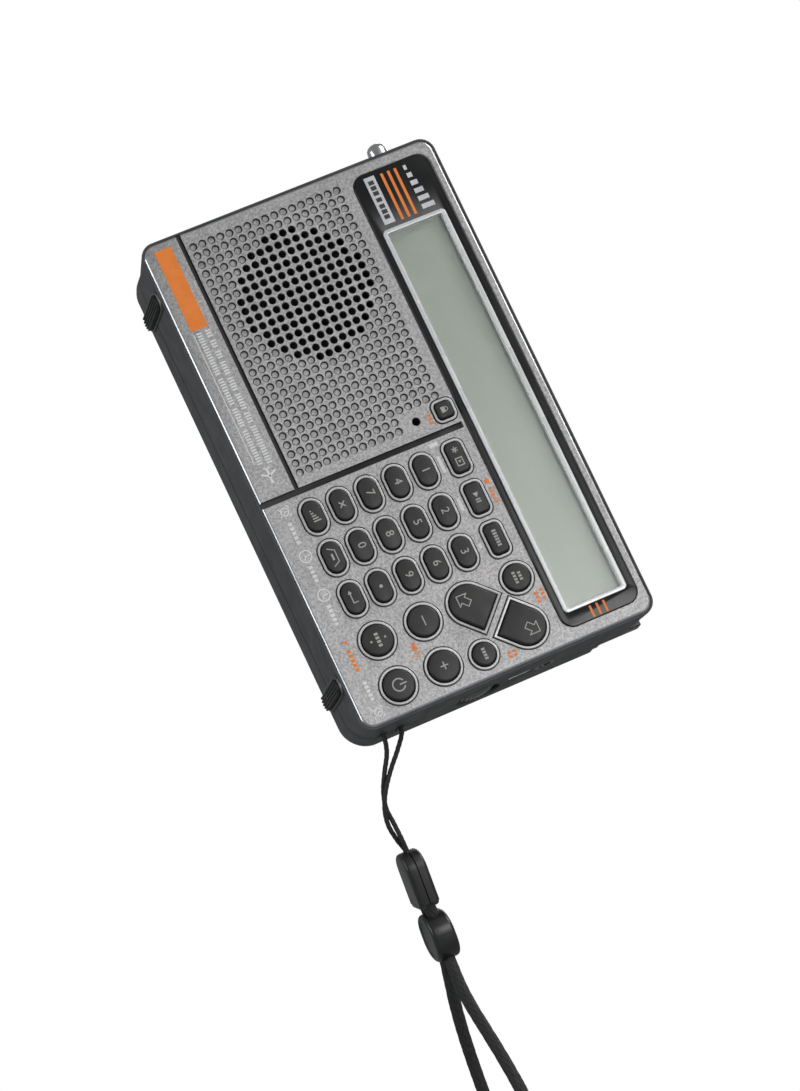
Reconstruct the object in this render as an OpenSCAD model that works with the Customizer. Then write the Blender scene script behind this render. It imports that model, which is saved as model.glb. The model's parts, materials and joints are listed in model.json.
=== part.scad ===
// Pocket multi-band shortwave receiver with keypad, display, telescopic aerial and wrist strap.
// Millimetres. +Z is up, the keypad faces -Y, and the two rubber feet stand on z = 0.

/* [Case] */
// Width of the front panel
panel_w = 135; // [134:0.5:137]
// Height of the front panel
panel_h = 81.2; // [81:0.1:82]
// Depth of the case from the panel face to the back
case_d = 30; // [29.6:0.1:31]
// Corner radius of the front panel
panel_r = 3.4; // [2:0.1:4]
// Width of the case edge that shows around the panel
rim_w = 0.55; // [0.5:0.05:0.8]
// Depth at which the front and back shells meet
seam_d = 15; // [14.8:0.1:15.2]
// Wall thickness of both shells
wall = 1.8; // [1.6:0.1:1.9]
// Radius of the rounded back edges
back_r = 8; // [6:0.5:9]
// Height of the rubber feet
foot_h = 1.5; // [1.3:0.1:1.8]

/* [Speaker] */
// Centre of the speaker, from the panel's left edge
speaker_x = 26; // [25:0.5:27]
// Centre of the speaker, from the panel's bottom edge
speaker_z = 34.3; // [34:0.1:35]
// Radius inside which the dots are drilled through
open_r = 17.3; // [16:0.1:17.4]
// Diameter of one dot
dot_d = 1.8; // [1.5:0.1:1.9]
// Spacing of the dots across and up
dot_pitch = [2.56, 2.52];

/* [Keys] */
// How far the key caps stand out of the panel
key_proud = 1.2; // [0.9:0.1:1.4]
// How far a key travels when it is pressed
key_travel = 0.6; // [0.4:0.1:0.6]
// Gap around each key cap
key_gap = 0.3; // [0.25:0.05:0.35]
// Width of the raised collar around each key well
collar_w = 0.65; // [0.5:0.05:0.8]

/* [Aerial] */
// Outer diameter of the aerial's widest tube
aerial_d = 5; // [4.8:0.1:5.2]
// Step in diameter from one aerial tube to the next
aerial_step = 0.8; // [0.8:0.05:0.9]
// How far each aerial tube pulls out of the next wider one
aerial_pull = 95; // [60:5:95]

/* [Strap] */
// Diameter of the thin string
string_d = 1.25; // [1:0.05:1.3]
// Diameter of the braided wrist loop
loop_d = 3.2; // [3:0.1:3.2]

/* [Hidden] */
$fn = 48;
eps = 0.01;

// The case is set off centre so that the aerial tip and the key caps balance about the origin.
case_x = 2.9;
face_y = -(case_d - key_proud) / 2;
panel_z = foot_h + rim_w;
case_left = case_x - panel_w / 2 - rim_w;
case_right = case_x + panel_w / 2 + rim_w;

// Layers behind the panel face
plate_t = 1.6;
bulkhead_t = 1.2;
flange_d = [3.1, 3.7];
flange_w = 0.8;
mat_d = [flange_d[1] + key_travel + 0.6, flange_d[1] + key_travel + 1.4];
board_d = [6.8, 8.2];

// Key columns and rows, from the panel's lower left corner
col = [80.25, 91.7, 103.15];
row = [51.3, 42.25, 34.45, 26.7, 18.95, 11.25];
oval = [8, 4.6, 2.29];
bar = [8, 4.1, 1.2];
arrow_mid = [121.1, 43.1];
arrow_r = 4.75;
arrow_out = 7.9;
arrow_in = 1.97;

// Each key: name, position, and either [width, height, corner radius] or [radius]
KEYS = [
    ["key_lock", [67.7, 53.6], [4.2, 4, 0.9]],
    ["key_light", [col[0], row[0]], bar],
    ["key_play", [col[1], row[0]], bar],
    ["key_preset", [col[2], row[0]], bar],
    ["key_1", [col[0], row[1]], oval],
    ["key_2", [col[1], row[1]], oval],
    ["key_3", [col[2], row[1]], oval],
    ["key_4", [col[0], row[2]], oval],
    ["key_5", [col[1], row[2]], oval],
    ["key_6", [col[2], row[2]], oval],
    ["key_7", [col[0], row[3]], oval],
    ["key_8", [col[1], row[3]], oval],
    ["key_9", [col[2], row[3]], oval],
    ["key_delete", [col[0], row[4]], oval],
    ["key_0", [col[1], row[4]], oval],
    ["key_point", [col[2], row[4]], oval],
    ["key_squelch", [col[0], row[5]], oval],
    ["key_bandwidth", [col[1], row[5]], oval],
    ["key_enter", [col[2], row[5]], oval],
    ["key_sub_band", [114.3, 51.8], [3.45]],
    ["key_mode", [128.9, 35.6], [2.95]],
    ["key_minus", [115.3, 25.1], [3.95]],
    ["key_plus", [127.7, 24.9], [3.95]],
    ["key_band", [115.2, 12.4], [3.95]],
    ["key_power", [127.7, 12.4], [3.95]],
    ["key_arrow_up", arrow_mid, [45, arrow_r]],
    ["key_arrow_down", arrow_mid, [225, arrow_r]]
];

// Display, from the panel's lower left corner: lower left and upper right corners
bezel_box = [[3.1, 57.4], [131.4, 79]];
frame_box = [[18.9, 59.1], [127.6, 76.8]];
lens_box = [[20, 60.2], [126.4, 75.6]];
frame_gap = 0.05;

// Grooves in the panel
groove_x = [72, 73.5];
groove_z = [9.8, 11];
groove_top = 56.4;
groove_t = 0.8;

// Dot field
dot_first = [4.4, 12.9];
dot_cols = 26;
dot_rows = 17;
short_rows = 5;
mic_pos = [67.7, 45.8];

// Battery, kickstand and aerial on the back: lower left and upper right corners
battery_box = [[10, 19.6], [63.6, 53.4]];
battery_d = [21.4, 27];
cover_box = [[7, 16.6], [66.6, 56.4]];
cover_t = 1.4;
stand_box = [[81, 8.5], [109, 58]];
stand_pin = [58.6, 28.2];
notch_z = 67.5;
notch_d = 19.4;
pivot = [127.5, 74.8];
rod_d = 24.2;
bracket_x = 119;
rod_end = -1;

// Chips and the aerial coil's two saddles on the board: lower left corner and size
chips = [[[52, 20], [7, 7]], [[52, 40], [10, 7]], [[64, 30], [6, 6]], [[88, 24], [9, 9]],
    [[84, 44], [12, 6]], [[11, 70.5], [3, 3]], [[94, 70.5], [3, 3]]];
chip_t = 1.5;
ferrite_r = 2.9;
coil_r = 3.4;
ferrite_at = [8, 72];

// Side fittings
wheel_pos = [124.15, 33.6];
wheel_r = 11.6;
wheel_d = [13.2, 16.8];
jack_at = [52, 11.5];
usb_at = [44.6, 10.8];
strap_z = [6.4, 11.3];
strap_depth = 12;
foot_x = [13.5, 121.5];
foot_w = 4.7;
foot_y = [0.8, 21.5];
screw_at = [[5.2, 6], [126.5, 4.4], [5.2, 61.5], [73.2, 56.2]];
boss_r = 2.2;

// Routes of the strap, as the distance from the case's right side, then y and z
string_route = [
    [-4.35, -3, 8.4], [-1.5, -3, 8.4], [1.5, -3, 8.3], [5, -2.8, 7.2], [9, -2.2, 4.8],
    [13, -1.1, 2.8], [17, 0.1, 1.9], [21, 0.8, 2.2], [25, 1.6, 2.5], [28.7, 2.8, 2.75],
    [32.7, 3.2, 2.75], [36.3, 3.6, 2.75], [37.8, 4.9, 2.75], [37.9, 6.9, 2.75], [36.5, 8.3, 2.75],
    [34.4, 8.2, 2.75], [31.5, 6.4, 2.75], [28.1, 4.2, 2.75], [25, 3, 1.7], [21, 0.9, 0.75],
    [17, -1.3, 1.2], [13, -2.8, 3.2], [9, -3.1, 6.4], [5, -3.1, 10.2], [1.5, -3, 13],
    [-1.5, -3, 13.4], [-4.35, -3, 13.4]
];
loop_route = [
    [39.5, 9.3, 2.8], [44.5, 11.1, 3], [49.5, 13, 3.1], [54.5, 14.8, 3], [60, 17.4, 2.4],
    [66, 21, 1.8], [73, 25.6, 1.6], [81, 30, 1.6], [90, 33.6, 1.6], [99, 35.6, 1.6],
    [108, 35.4, 1.6], [116, 32.6, 1.6], [122.5, 27.6, 1.6], [126.4, 20.8, 1.6], [127.2, 13, 1.6],
    [124.8, 5.6, 1.6], [119.6, 0, 1.6], [112, -3.4, 1.6], [103, -4.4, 1.6], [94, -3.4, 1.6],
    [85, -0.6, 1.6], [77, 3, 1.6], [70, 6.6, 1.7], [64, 9.4, 2.1], [59.5, 11.2, 2.7],
    [55.7, 11.5, 3], [50.7, 9.8, 3.1], [45.7, 7.9, 3], [40.7, 6.1, 2.8]
];
clip_at = [35.4, 6, 2.75];
clip_size = [14.8, 9, 5.5];
slider_at = [50, 11.3, 3.1];
slider_size = [12.7, 11.3, 6.2];
strap_angle = 20;

// Every node of the assembly

// ---- 2-D outlines, seen from the front ----

module round_box(low, high, r) {
    w = high[0] - low[0];
    h = high[1] - low[1];
    translate([low[0] + r, low[1]]) square([w - 2 * r, h]);
    translate([low[0], low[1] + r]) square([w, h - 2 * r]);
    for (x = [low[0] + r, high[0] - r], z = [low[1] + r, high[1] - r])
        translate([x, z]) circle(r);
}

module panel_box(grow, r) {
    round_box([-grow, -grow], [panel_w + grow, panel_h + grow], r);
}

// A flat-backed arrow key: a half round with square inner corners
module arrow_outline(angle, r, grow) {
    translate(arrow_mid) rotate(angle) {
        translate([arrow_out, 0]) circle(r + grow);
        translate([arrow_in - grow, -r - grow]) square([arrow_out - arrow_in + grow, 2 * (r + grow)]);
    }
}

module key_outline(key, grow) {
    size = key[2];
    if (len(size) == 1)
        translate(key[1]) circle(size[0] + grow);
    if (len(size) == 2)
        arrow_outline(size[0], size[1], grow);
    if (len(size) == 3)
        round_box([key[1][0] - size[0] / 2 - grow, key[1][1] - size[1] / 2 - grow],
            [key[1][0] + size[0] / 2 + grow, key[1][1] + size[1] / 2 + grow], size[2] + grow);
}

function dot_at(i, j) = [dot_first[0] + i * dot_pitch[0], dot_first[1] + j * dot_pitch[1]];
function from_speaker(p) = norm(p - [speaker_x, speaker_z]);
function is_open(p) = from_speaker(p) < open_r;
function dot_cols_in(j) = j < dot_rows - short_rows ? dot_cols : dot_cols - 2;

module dots(through) {
    for (j = [0:dot_rows - 1], i = [0:dot_cols_in(j) - 1])
        if (is_open(dot_at(i, j)) == through)
            translate(dot_at(i, j)) circle(d = dot_d, $fn = 20);
}

module grooves() {
    translate([groove_x[0], -1]) square([groove_x[1] - groove_x[0], groove_top + 1]);
    translate([-1, groove_z[0]]) square([groove_x[0] + 1 + eps, groove_z[1] - groove_z[0]]);
}

// ---- placing ----

// Puts a 2-D outline between two depths behind the panel face
module layer(near, far) {
    translate([case_x - panel_w / 2, face_y + far, panel_z])
        rotate([90, 0, 0]) linear_extrude(far - near) children();
}

// Puts a 3-D piece at a panel position and a depth, with its own +Z pointing to the back
module facing_back(x, z, depth) {
    translate([case_x - panel_w / 2 + x, face_y + depth, panel_z + z])
        rotate([-90, 0, 0]) children();
}

// A block between two panel corners and two depths
module block(low, high, near, far) {
    layer(near, far) translate(low) square(high - low);
}

// Solid inside of the case outline, shrunk by inset, with rounded back edges
module back_form(inset, near, far) {
    r = back_r - inset;
    w = panel_w + 2 * rim_w - 2 * inset;
    h = panel_h + 2 * rim_w - 2 * inset;
    intersection() {
        layer(near, far) panel_box(rim_w - inset, panel_r + rim_w - inset);
        translate([case_x - w / 2, face_y, panel_z - rim_w + inset]) rotate([90, 0, 90])
            linear_extrude(w) edge_profile(near, far, h, r);
        translate([case_x - w / 2, face_y, panel_z - rim_w + inset + h]) mirror([0, 0, 1])
            linear_extrude(h) turned_profile(near, far, w, r);
    }
}

module edge_profile(near, far, h, r) {
    translate([near, 0]) square([far - near - r, h]);
    translate([near, r]) square([far - near, h - 2 * r]);
    for (z = [r, h - r])
        translate([far - r, z]) circle(r);
}

module turned_profile(near, far, w, r) {
    translate([0, near]) square([w, far - near - r]);
    translate([r, near]) square([w - 2 * r, far - near]);
    for (x = [r, w - r])
        translate([x, far - r]) circle(r);
}

// ---- front of the case ----

module side_cuts() {
    facing_back(wheel_pos[0], wheel_pos[1], wheel_d[0] - 0.5)
        cylinder(r = wheel_r + 0.5, h = wheel_d[1] - wheel_d[0] + 1, $fn = 96);
    translate([case_right - 0.9, face_y + seam_d - 1.4, panel_z + wheel_pos[1]])
        rotate([0, 90, 0]) cylinder(r = 6.1, h = 3, $fn = 64);
    translate([case_right - 6, face_y + jack_at[1], panel_z + jack_at[0]])
        rotate([0, 90, 0]) cylinder(r = 2.9, h = 10);
    block([panel_w - 6, usb_at[0] - 3.9], [panel_w + 3, usb_at[0] + 3.9], usb_at[1] - 1.6, usb_at[1] + 1.6);
    for (z = strap_z)
        block([panel_w - 4, z - 1.1], [panel_w + 3, z + 1.1], strap_depth - 1.5, strap_depth + 1.5);
}

module strap_pocket() {
    difference() {
        block([panel_w - 5.4, 3.6], [panel_w - 1, 14.2], strap_depth - 2.6, strap_depth + 2.6);
        block([panel_w - 3.8, 4.8], [panel_w, 13], strap_depth - 1.5, strap_depth + 1.5);
    }
}

module front_case() color("#4b4a4b") difference() {
    union() {
        difference() {
            layer(0.3, seam_d) panel_box(rim_w, panel_r + rim_w);
            layer(0, plate_t) panel_box(0.08, panel_r + 0.08);
            layer(plate_t + bulkhead_t, seam_d + 1) panel_box(rim_w - wall, panel_r + rim_w - wall);
            layer(plate_t - eps, plate_t + bulkhead_t + eps) bulkhead_holes();
        }
        strap_pocket();
        for (p = screw_at)
            facing_back(p[0], p[1], plate_t + bulkhead_t - eps)
                cylinder(r = boss_r, h = seam_d - plate_t - bulkhead_t - 0.3);
    }
    side_cuts();
    for (p = screw_at)
        facing_back(p[0], p[1], seam_d - 9) cylinder(r = 0.85, h = 12, $fn = 24);
}

module bulkhead_holes() {
    translate([speaker_x, speaker_z]) circle(open_r + 0.4, $fn = 96);
    translate(frame_box[0] + [0.6, 0.6]) square(frame_box[1] - frame_box[0] - [1.2, 1.2]);
    for (key = KEYS)
        key_outline(key, key_gap);
    translate(mic_pos) circle(1);
}

module face_plate() color("#a9a9ab") {
    difference() {
        layer(0, plate_t) difference() {
            panel_box(0, panel_r);
            round_box(bezel_box[0] - [0.1, 0.1], bezel_box[1] + [0.1, 0.1], 3.6);
            dots(true);
            for (key = KEYS)
                key_outline(key, key_gap);
            translate(mic_pos) circle(1);
        }
        layer(-1, groove_t) grooves();
        layer(-1, 0.5) dots(false);
        layer(-1, 0.3) collar_rings(key_gap + collar_w, key_gap + collar_w + 0.2);
    }
    layer(-0.35, eps) collar_rings(key_gap, key_gap + collar_w);
}

module collar_rings(inner, outer) {
    for (key = KEYS)
        difference() {
            key_outline(key, outer);
            key_outline(key, inner);
        }
}

module display_bezel() color("#17181a") layer(-0.3, plate_t) difference() {
    round_box(bezel_box[0], bezel_box[1], 3.5);
    round_box(frame_box[0] - [frame_gap, frame_gap], frame_box[1] + [frame_gap, frame_gap], 1.25);
}

module lcd_frame() color("#e3e4e6") layer(-0.7, plate_t) difference() {
    round_box(frame_box[0], frame_box[1], 1.2);
    round_box(lens_box[0], lens_box[1], 0.6);
}

module display_lens() color("#b9c4bd") layer(0.1, 1.1)
    round_box(lens_box[0] + [frame_gap, frame_gap], lens_box[1] - [frame_gap, frame_gap], 0.55);

module lcd_module() color("#8c978c") {
    layer(1.9, 3.3) translate(frame_box[0] + [0.8, 0.8])
        square(frame_box[1] - frame_box[0] - [1.6, 1.6]);
    block([17, 58.6], [130, 77.6], 3.2, 6.4);
}

// ---- inside ----

module keypad_mat() color("#3a3a3c") {
    layer(mat_d[0], mat_d[1]) difference() {
        round_box([63.5, 7.4], [132.6, 57.6], 2);
        translate(screw_at[3]) circle(boss_r + 0.3);
    }
    for (key = KEYS)
        facing_back(key_middle(key)[0], key_middle(key)[1], mat_d[1] - eps)
            cylinder(r = 1.5, h = board_d[0] - mat_d[1] - 0.2, $fn = 24);
}

function key_middle(key) = len(key[2]) == 2
    ? key[1] + (arrow_in + arrow_out + arrow_r) / 2 * [cos(key[2][0]), sin(key[2][0])]
    : key[1];

module main_board() color("#2f6a45") {
    layer(board_d[0], board_d[1]) difference() {
        round_box([2.2, 2.2], [132.6, 79], 1.5);
        translate([speaker_x, speaker_z]) circle(20.4);
        for (p = screw_at)
            translate(p) circle(boss_r + 0.3);
    }
    for (chip = chips)
        block(chip[0], chip[0] + chip[1], board_d[1] - eps, board_d[1] + chip_t);
}

module speaker_frame() color("#5a5c5e") facing_back(speaker_x, speaker_z, 0) {
    rotate_extrude($fn = 96) polygon([[17.9, 2.8], [19.6, 2.8], [19.6, 5], [18.4, 5.6], [11.4, 10.2],
        [11.4, 14.6], [0, 14.6], [0, 9.6], [10.4, 9.6], [17.9, 4.4]]);
}

module speaker_cone() color("#26272a") facing_back(speaker_x, speaker_z, 0) {
    rotate_extrude($fn = 96) polygon([[17.6, 3.2], [17.6, 3.7], [16.4, 4.1], [5.4, 8.6], [0, 8.6],
        [0, 6.8], [2.6, 7.1], [4.8, 7.9], [16.1, 3.4]]);
}

// Puts a piece that runs along +X at a distance along the ferrite rod
module on_ferrite(x) {
    translate([case_x - panel_w / 2 + ferrite_at[0] + x, face_y + board_d[1] + chip_t + ferrite_r,
        panel_z + ferrite_at[1]]) rotate([0, 90, 0]) children();
}

module ferrite_rod() color("#3c3a3a") on_ferrite(0) cylinder(r = ferrite_r, h = 92);

module ferrite_coil() color("#b0703a") on_ferrite(12) difference() {
    cylinder(r = coil_r, h = 34);
    translate([0, 0, -1]) cylinder(r = ferrite_r, h = 36);
}

module wheel_encoder() color("#77797c") facing_back(wheel_pos[0], wheel_pos[1], board_d[1]) {
    translate([-5.5, -5.5, 0]) cube([11, 11, 4.2]);
    cylinder(r = 1.5, h = wheel_d[1] - board_d[1] + 0.6);
}

module headphone_jack() color("#1b1b1d") difference() {
    union() {
        block([121.6, jack_at[0] - 3.1], [panel_w - 1.6, jack_at[0] + 3.1], board_d[1], jack_at[1] + 3.1);
        translate([case_right - 3.5, face_y + jack_at[1], panel_z + jack_at[0]])
            rotate([0, 90, 0]) cylinder(r = 2.8, h = 3.5);
    }
    translate([case_right - 12, face_y + jack_at[1], panel_z + jack_at[0]])
        rotate([0, 90, 0]) cylinder(r = 1.8, h = 13);
}

module usb_port() color("#b9bcc0") difference() {
    block([127, usb_at[0] - 3.75], [panel_w + rim_w - 0.2, usb_at[0] + 3.75], usb_at[1] - 1.45, usb_at[1] + 1.45);
    block([129, usb_at[0] - 3.45], [panel_w + 3, usb_at[0] + 3.45], usb_at[1] - 1.15, usb_at[1] + 1.15);
}

module tuning_wheel() color("#3f4142") facing_back(wheel_pos[0], wheel_pos[1], wheel_d[0])
    difference() {
        cylinder(r = wheel_r, h = wheel_d[1] - wheel_d[0], $fn = 96);
        translate([0, 0, -1]) cylinder(r = 1.55, h = 9);
    }

// ---- back of the case ----

module rear_cover() color("#444345") difference() {
    union() {
        difference() {
            back_form(0, seam_d, case_d);
            intersection() {
                back_form(wall, seam_d - 1, case_d - wall);
                rear_hollow();
            }
        }
        for (p = screw_at)
            facing_back(p[0], p[1], seam_d + 0.3) cylinder(r = 2.6, h = case_d - seam_d - 3);
    }
    rear_cuts();
    side_cuts();
}

// Where the inside of the back shell stays hollow, around the battery tray, stand and aerial shelf
module rear_hollow() difference() {
    block([-2, -2], [panel_w + 2, panel_h + 2], seam_d - 2, case_d);
    block(battery_box[0] - [1.5, 1.5], battery_box[1] + [1.5, 1.5], battery_d[0] - 1.6, case_d);
    block(cover_box[0] - [1.5, 1.5], cover_box[1] + [1.5, 1.5], case_d - cover_t - 1.9, case_d);
    block(stand_box[0] - [1.8, 1.8], stand_box[1] + [1.8, 4.6], 24.8, case_d);
    block([-2, notch_z - wall], [panel_w + 2, panel_h + 2], notch_d - wall, case_d);
}

module rear_cuts() {
    block(battery_box[0] - [0.3, 0.3], battery_box[1] + [0.3, 0.3], battery_d[0], case_d + 1);
    block(cover_box[0] - [0.3, 0.3], cover_box[1] + [0.3, 0.3], case_d - cover_t - 0.4, case_d + 1);
    facing_back((stand_box[0][0] + stand_box[1][0]) / 2, stand_box[0][1], case_d - 2.2)
        cylinder(r = 5, h = 5);
    block(stand_box[0] - [0.4, 0.6], [stand_box[1][0] + 0.4, stand_pin[0] + 2], 26.4, case_d + 1);
    block([-2, notch_z], [panel_w + 2, panel_h + 2], notch_d, case_d + 1);
    block([bracket_x - 0.2, 68.8], [panel_w + 2, panel_h + 2], seam_d - 1, case_d + 1);
    translate([case_x - panel_w / 2 + stand_box[0][0] - 2, face_y + stand_pin[1], panel_z + stand_pin[0]])
        rotate([0, 90, 0]) cylinder(r = 0.85, h = stand_box[1][0] - stand_box[0][0] + 4, $fn = 32);
    for (p = screw_at) {
        facing_back(p[0], p[1], seam_d - 1) cylinder(r = 1.1, h = 20, $fn = 24);
        facing_back(p[0], p[1], case_d - 8) cylinder(r = 2, h = 20);
    }
}

module battery_pack() color("#2d4f86")
    layer(battery_d[0], battery_d[1]) round_box(battery_box[0], battery_box[1], 1.5);

module battery_contacts() color("#c9a64a") for (i = [0:2])
    block([28 + 6 * i, battery_box[1][1]], [31 + 6 * i, battery_box[1][1] + 0.3], 22.4, 25.8);

module battery_cover() color("#464547") difference() {
    layer(case_d - cover_t, case_d) round_box(cover_box[0], cover_box[1], 1);
    for (i = [0:4])
        layer(case_d - 0.5, case_d + 1) translate([30 + 3 * i, 20]) square([1.4, 5]);
}

module kickstand() color("#3d3c3e") {
    block(stand_box[0], stand_box[1], stand_pin[1] - 0.1, case_d - 0.1);
    translate([case_x - panel_w / 2, face_y + stand_pin[1], panel_z + stand_pin[0]]) rotate([0, 90, 0]) {
        translate([0, 0, stand_box[0][0]]) cylinder(r = 1.5, h = stand_box[1][0] - stand_box[0][0]);
        translate([0, 0, stand_box[0][0] - 1.8])
            cylinder(r = 0.8, h = stand_box[1][0] - stand_box[0][0] + 3.6, $fn = 32);
    }
}

module rubber_feet() color("#1e1f21") for (x = foot_x)
    translate([case_x - panel_w / 2 + x, face_y, 0]) linear_extrude(foot_h)
        round_box([-foot_w / 2, foot_y[0]], [foot_w / 2, foot_y[1]], foot_w / 2 - 0.01);

module screws() color("#8d9094") for (p = screw_at)
    facing_back(p[0], p[1], seam_d - 6.2) {
        cylinder(r = 0.85, h = 13.2, $fn = 24);
        translate([0, 0, 13.2]) cylinder(r = 1.7, h = 1.4, $fn = 32);
    }

// ---- aerial ----

module at_pivot() {
    translate([case_x - panel_w / 2 + pivot[0], face_y, panel_z + pivot[1]]) children();
}

module antenna_bracket() color("#202123") difference() {
    block([bracket_x, 69], [panel_w + 0.3, panel_h - 0.5], seam_d + 0.1, notch_d - 0.2);
    at_pivot() rotate([-90, 0, 0]) cylinder(r = 2.05, h = 30);
}

module antenna_swivel() color("#2a2b2d") at_pivot() {
    translate([0, seam_d + 0.8, 0]) rotate([-90, 0, 0]) cylinder(r = 2, h = 5);
    translate([0, notch_d + 0.1, 0]) rotate([-90, 0, 0]) cylinder(r = 5, h = 1.6);
    for (side = [-1, 1])
        translate([0, notch_d + 1.6, side * 3.5 - 0.7]) difference() {
            union() {
                translate([-2.6, 0, 0]) cube([5.2, rod_d - notch_d - 1.6, 1.4]);
                translate([0, rod_d - notch_d - 1.6, 0]) cylinder(r = 2.6, h = 1.4);
            }
        }
    translate([0, rod_d, -3]) cylinder(r = 1, h = 6, $fn = 32);
}

// One hollow aerial tube, lying along -X from the pivot
module aerial_tube(d, from, to) {
    at_pivot() translate([to - pivot[0], rod_d, 0]) rotate([0, 90, 0]) difference() {
        cylinder(r = d / 2, h = from - to, $fn = 40);
        translate([0, 0, -1]) cylinder(r = d / 2 - 0.35, h = from - to + 2, $fn = 40);
    }
}

function tube_d(i) = aerial_d - aerial_step * i;

module antenna_tube_1() color("#c7cacd") {
    aerial_tube(tube_d(0), 120, rod_end);
    at_pivot() difference() {
        union() {
            translate([-8.5, rod_d, 0]) rotate([0, 90, 0]) cylinder(r = aerial_d / 2, h = 7, $fn = 40);
            translate([0, rod_d, -2.6]) cylinder(r = 2.5, h = 5.2, $fn = 40);
        }
        translate([0, rod_d, -4]) cylinder(r = 1.05, h = 8, $fn = 32);
    }
}

module antenna_tube_2() color("#cdd0d3") aerial_tube(tube_d(1), 112, rod_end - 0.4);

module antenna_tube_3() color("#d2d5d8") aerial_tube(tube_d(2), 109, rod_end - 0.8);

module antenna_tube_4() color("#d8dbde") at_pivot() {
    translate([rod_end - 2 - pivot[0], rod_d, 0]) rotate([0, 90, 0])
        cylinder(r = tube_d(3) / 2, h = 108, $fn = 40);
    translate([rod_end - 1.4 - pivot[0], rod_d, 0]) rotate([0, -90, 0]) rotate_extrude($fn = 40)
        polygon([[0, 0], [2.1, 0], [2.3, 0.3], [2.3, 2.4], [2, 3.2], [1.3, 3.8], [0, 4]]);
}

// ---- keys ----

module key_cap(key) color("#3b3c3f") {
    layer(-key_proud, flange_d[0] + eps) key_outline(key, 0);
    layer(flange_d[0], flange_d[1]) key_outline(key, flange_w);
}

// ---- strap ----

// Rings of a round tube that follows a route of points
function along(route, i) = let (n = len(route) - 1,
    d = route[min(i + 1, n)] - route[max(i - 1, 0)]) d / norm(d);
function across(d) = let (c = cross(d, [0, 0, 1])) c / norm(c);
function ring(route, i, r) = let (d = along(route, i), a = across(d), b = cross(a, d))
    [for (k = [0:7]) route[i] + r * (cos(45 * k) * a + sin(45 * k) * b)];

module tube(route, d) {
    n = len(route);
    points = [for (i = [0:n - 1]) each ring(route, i, d / 2)];
    sides = [for (i = [0:n - 2], k = [0:7]) let (m = (k + 1) % 8)
        [8 * i + k, 8 * i + m, 8 * (i + 1) + m, 8 * (i + 1) + k]];
    caps = [[for (k = [7:-1:0]) k], [for (k = [0:7]) 8 * (n - 1) + k]];
    polyhedron(points = points, faces = concat(sides, caps), convexity = 6);
}

function from_side(route) = [for (p = route) [case_right + p[0], p[1], p[2]]];

module strap_string() color("#141415") tube(from_side(string_route), string_d);

module wrist_loop() color("#161617") tube(from_side(loop_route), loop_d);

module on_strap(at) {
    translate([case_right + at[0], at[1], at[2]]) rotate([0, 0, strap_angle]) children();
}

module strap_clip() color("#1b1b1d") on_strap(clip_at) translate([0, 0, -clip_size[2] / 2])
    linear_extrude(clip_size[2])
        round_box([-clip_size[0] / 2, -clip_size[1] / 2], [clip_size[0] / 2, clip_size[1] / 2], 3);

module strap_slider() color("#1b1b1d") on_strap(slider_at) translate([0, 0, -slider_size[2] / 2])
    linear_extrude(slider_size[2])
        round_box([-slider_size[0] / 2, -slider_size[1] / 2], [slider_size[0] / 2, slider_size[1] / 2], 4.5);

front_case();
face_plate();
display_bezel();
lcd_frame();
display_lens();
lcd_module();
keypad_mat();
main_board();
speaker_frame();
speaker_cone();
ferrite_rod();
ferrite_coil();
rear_cover();
battery_pack();
battery_contacts();
battery_cover();
kickstand();
rubber_feet();
screws();
headphone_jack();
usb_port();
tuning_wheel();
wheel_encoder();
antenna_bracket();
antenna_swivel();
antenna_tube_1();
antenna_tube_2();
antenna_tube_3();
antenna_tube_4();
for (key = KEYS)
    key_cap(key);
strap_string();
strap_clip();
strap_slider();
wrist_loop();
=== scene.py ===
"""Looks of the pocket multi-band receiver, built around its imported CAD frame.

Everything is in metres in the frame of the CAD part: +Z up, the keypad facing -Y, the feet on z = 0.
Places on the front panel are given in millimetres as (across, up) from its lower left corner,
with a depth behind its face.
"""

import json
import math

import bmesh
import bpy
from mathutils import Matrix, Vector

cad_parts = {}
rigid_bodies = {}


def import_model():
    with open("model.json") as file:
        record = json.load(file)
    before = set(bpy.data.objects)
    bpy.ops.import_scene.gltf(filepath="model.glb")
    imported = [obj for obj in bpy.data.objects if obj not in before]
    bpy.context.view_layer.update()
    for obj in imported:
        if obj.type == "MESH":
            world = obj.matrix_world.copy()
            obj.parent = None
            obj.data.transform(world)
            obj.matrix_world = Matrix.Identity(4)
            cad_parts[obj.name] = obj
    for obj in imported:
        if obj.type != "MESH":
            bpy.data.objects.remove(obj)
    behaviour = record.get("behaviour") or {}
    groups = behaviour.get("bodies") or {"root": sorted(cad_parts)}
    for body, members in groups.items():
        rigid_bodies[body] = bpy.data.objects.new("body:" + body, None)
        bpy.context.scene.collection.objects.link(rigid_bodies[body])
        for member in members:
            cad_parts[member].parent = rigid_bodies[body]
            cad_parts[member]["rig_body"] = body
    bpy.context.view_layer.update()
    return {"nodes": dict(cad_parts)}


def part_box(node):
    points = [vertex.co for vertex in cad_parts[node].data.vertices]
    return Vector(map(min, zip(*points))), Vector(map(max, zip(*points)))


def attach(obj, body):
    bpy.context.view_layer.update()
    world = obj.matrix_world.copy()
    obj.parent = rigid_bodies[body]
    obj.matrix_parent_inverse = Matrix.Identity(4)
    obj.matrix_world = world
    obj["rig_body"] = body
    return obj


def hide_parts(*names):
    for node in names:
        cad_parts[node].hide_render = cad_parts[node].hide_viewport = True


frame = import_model()

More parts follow.
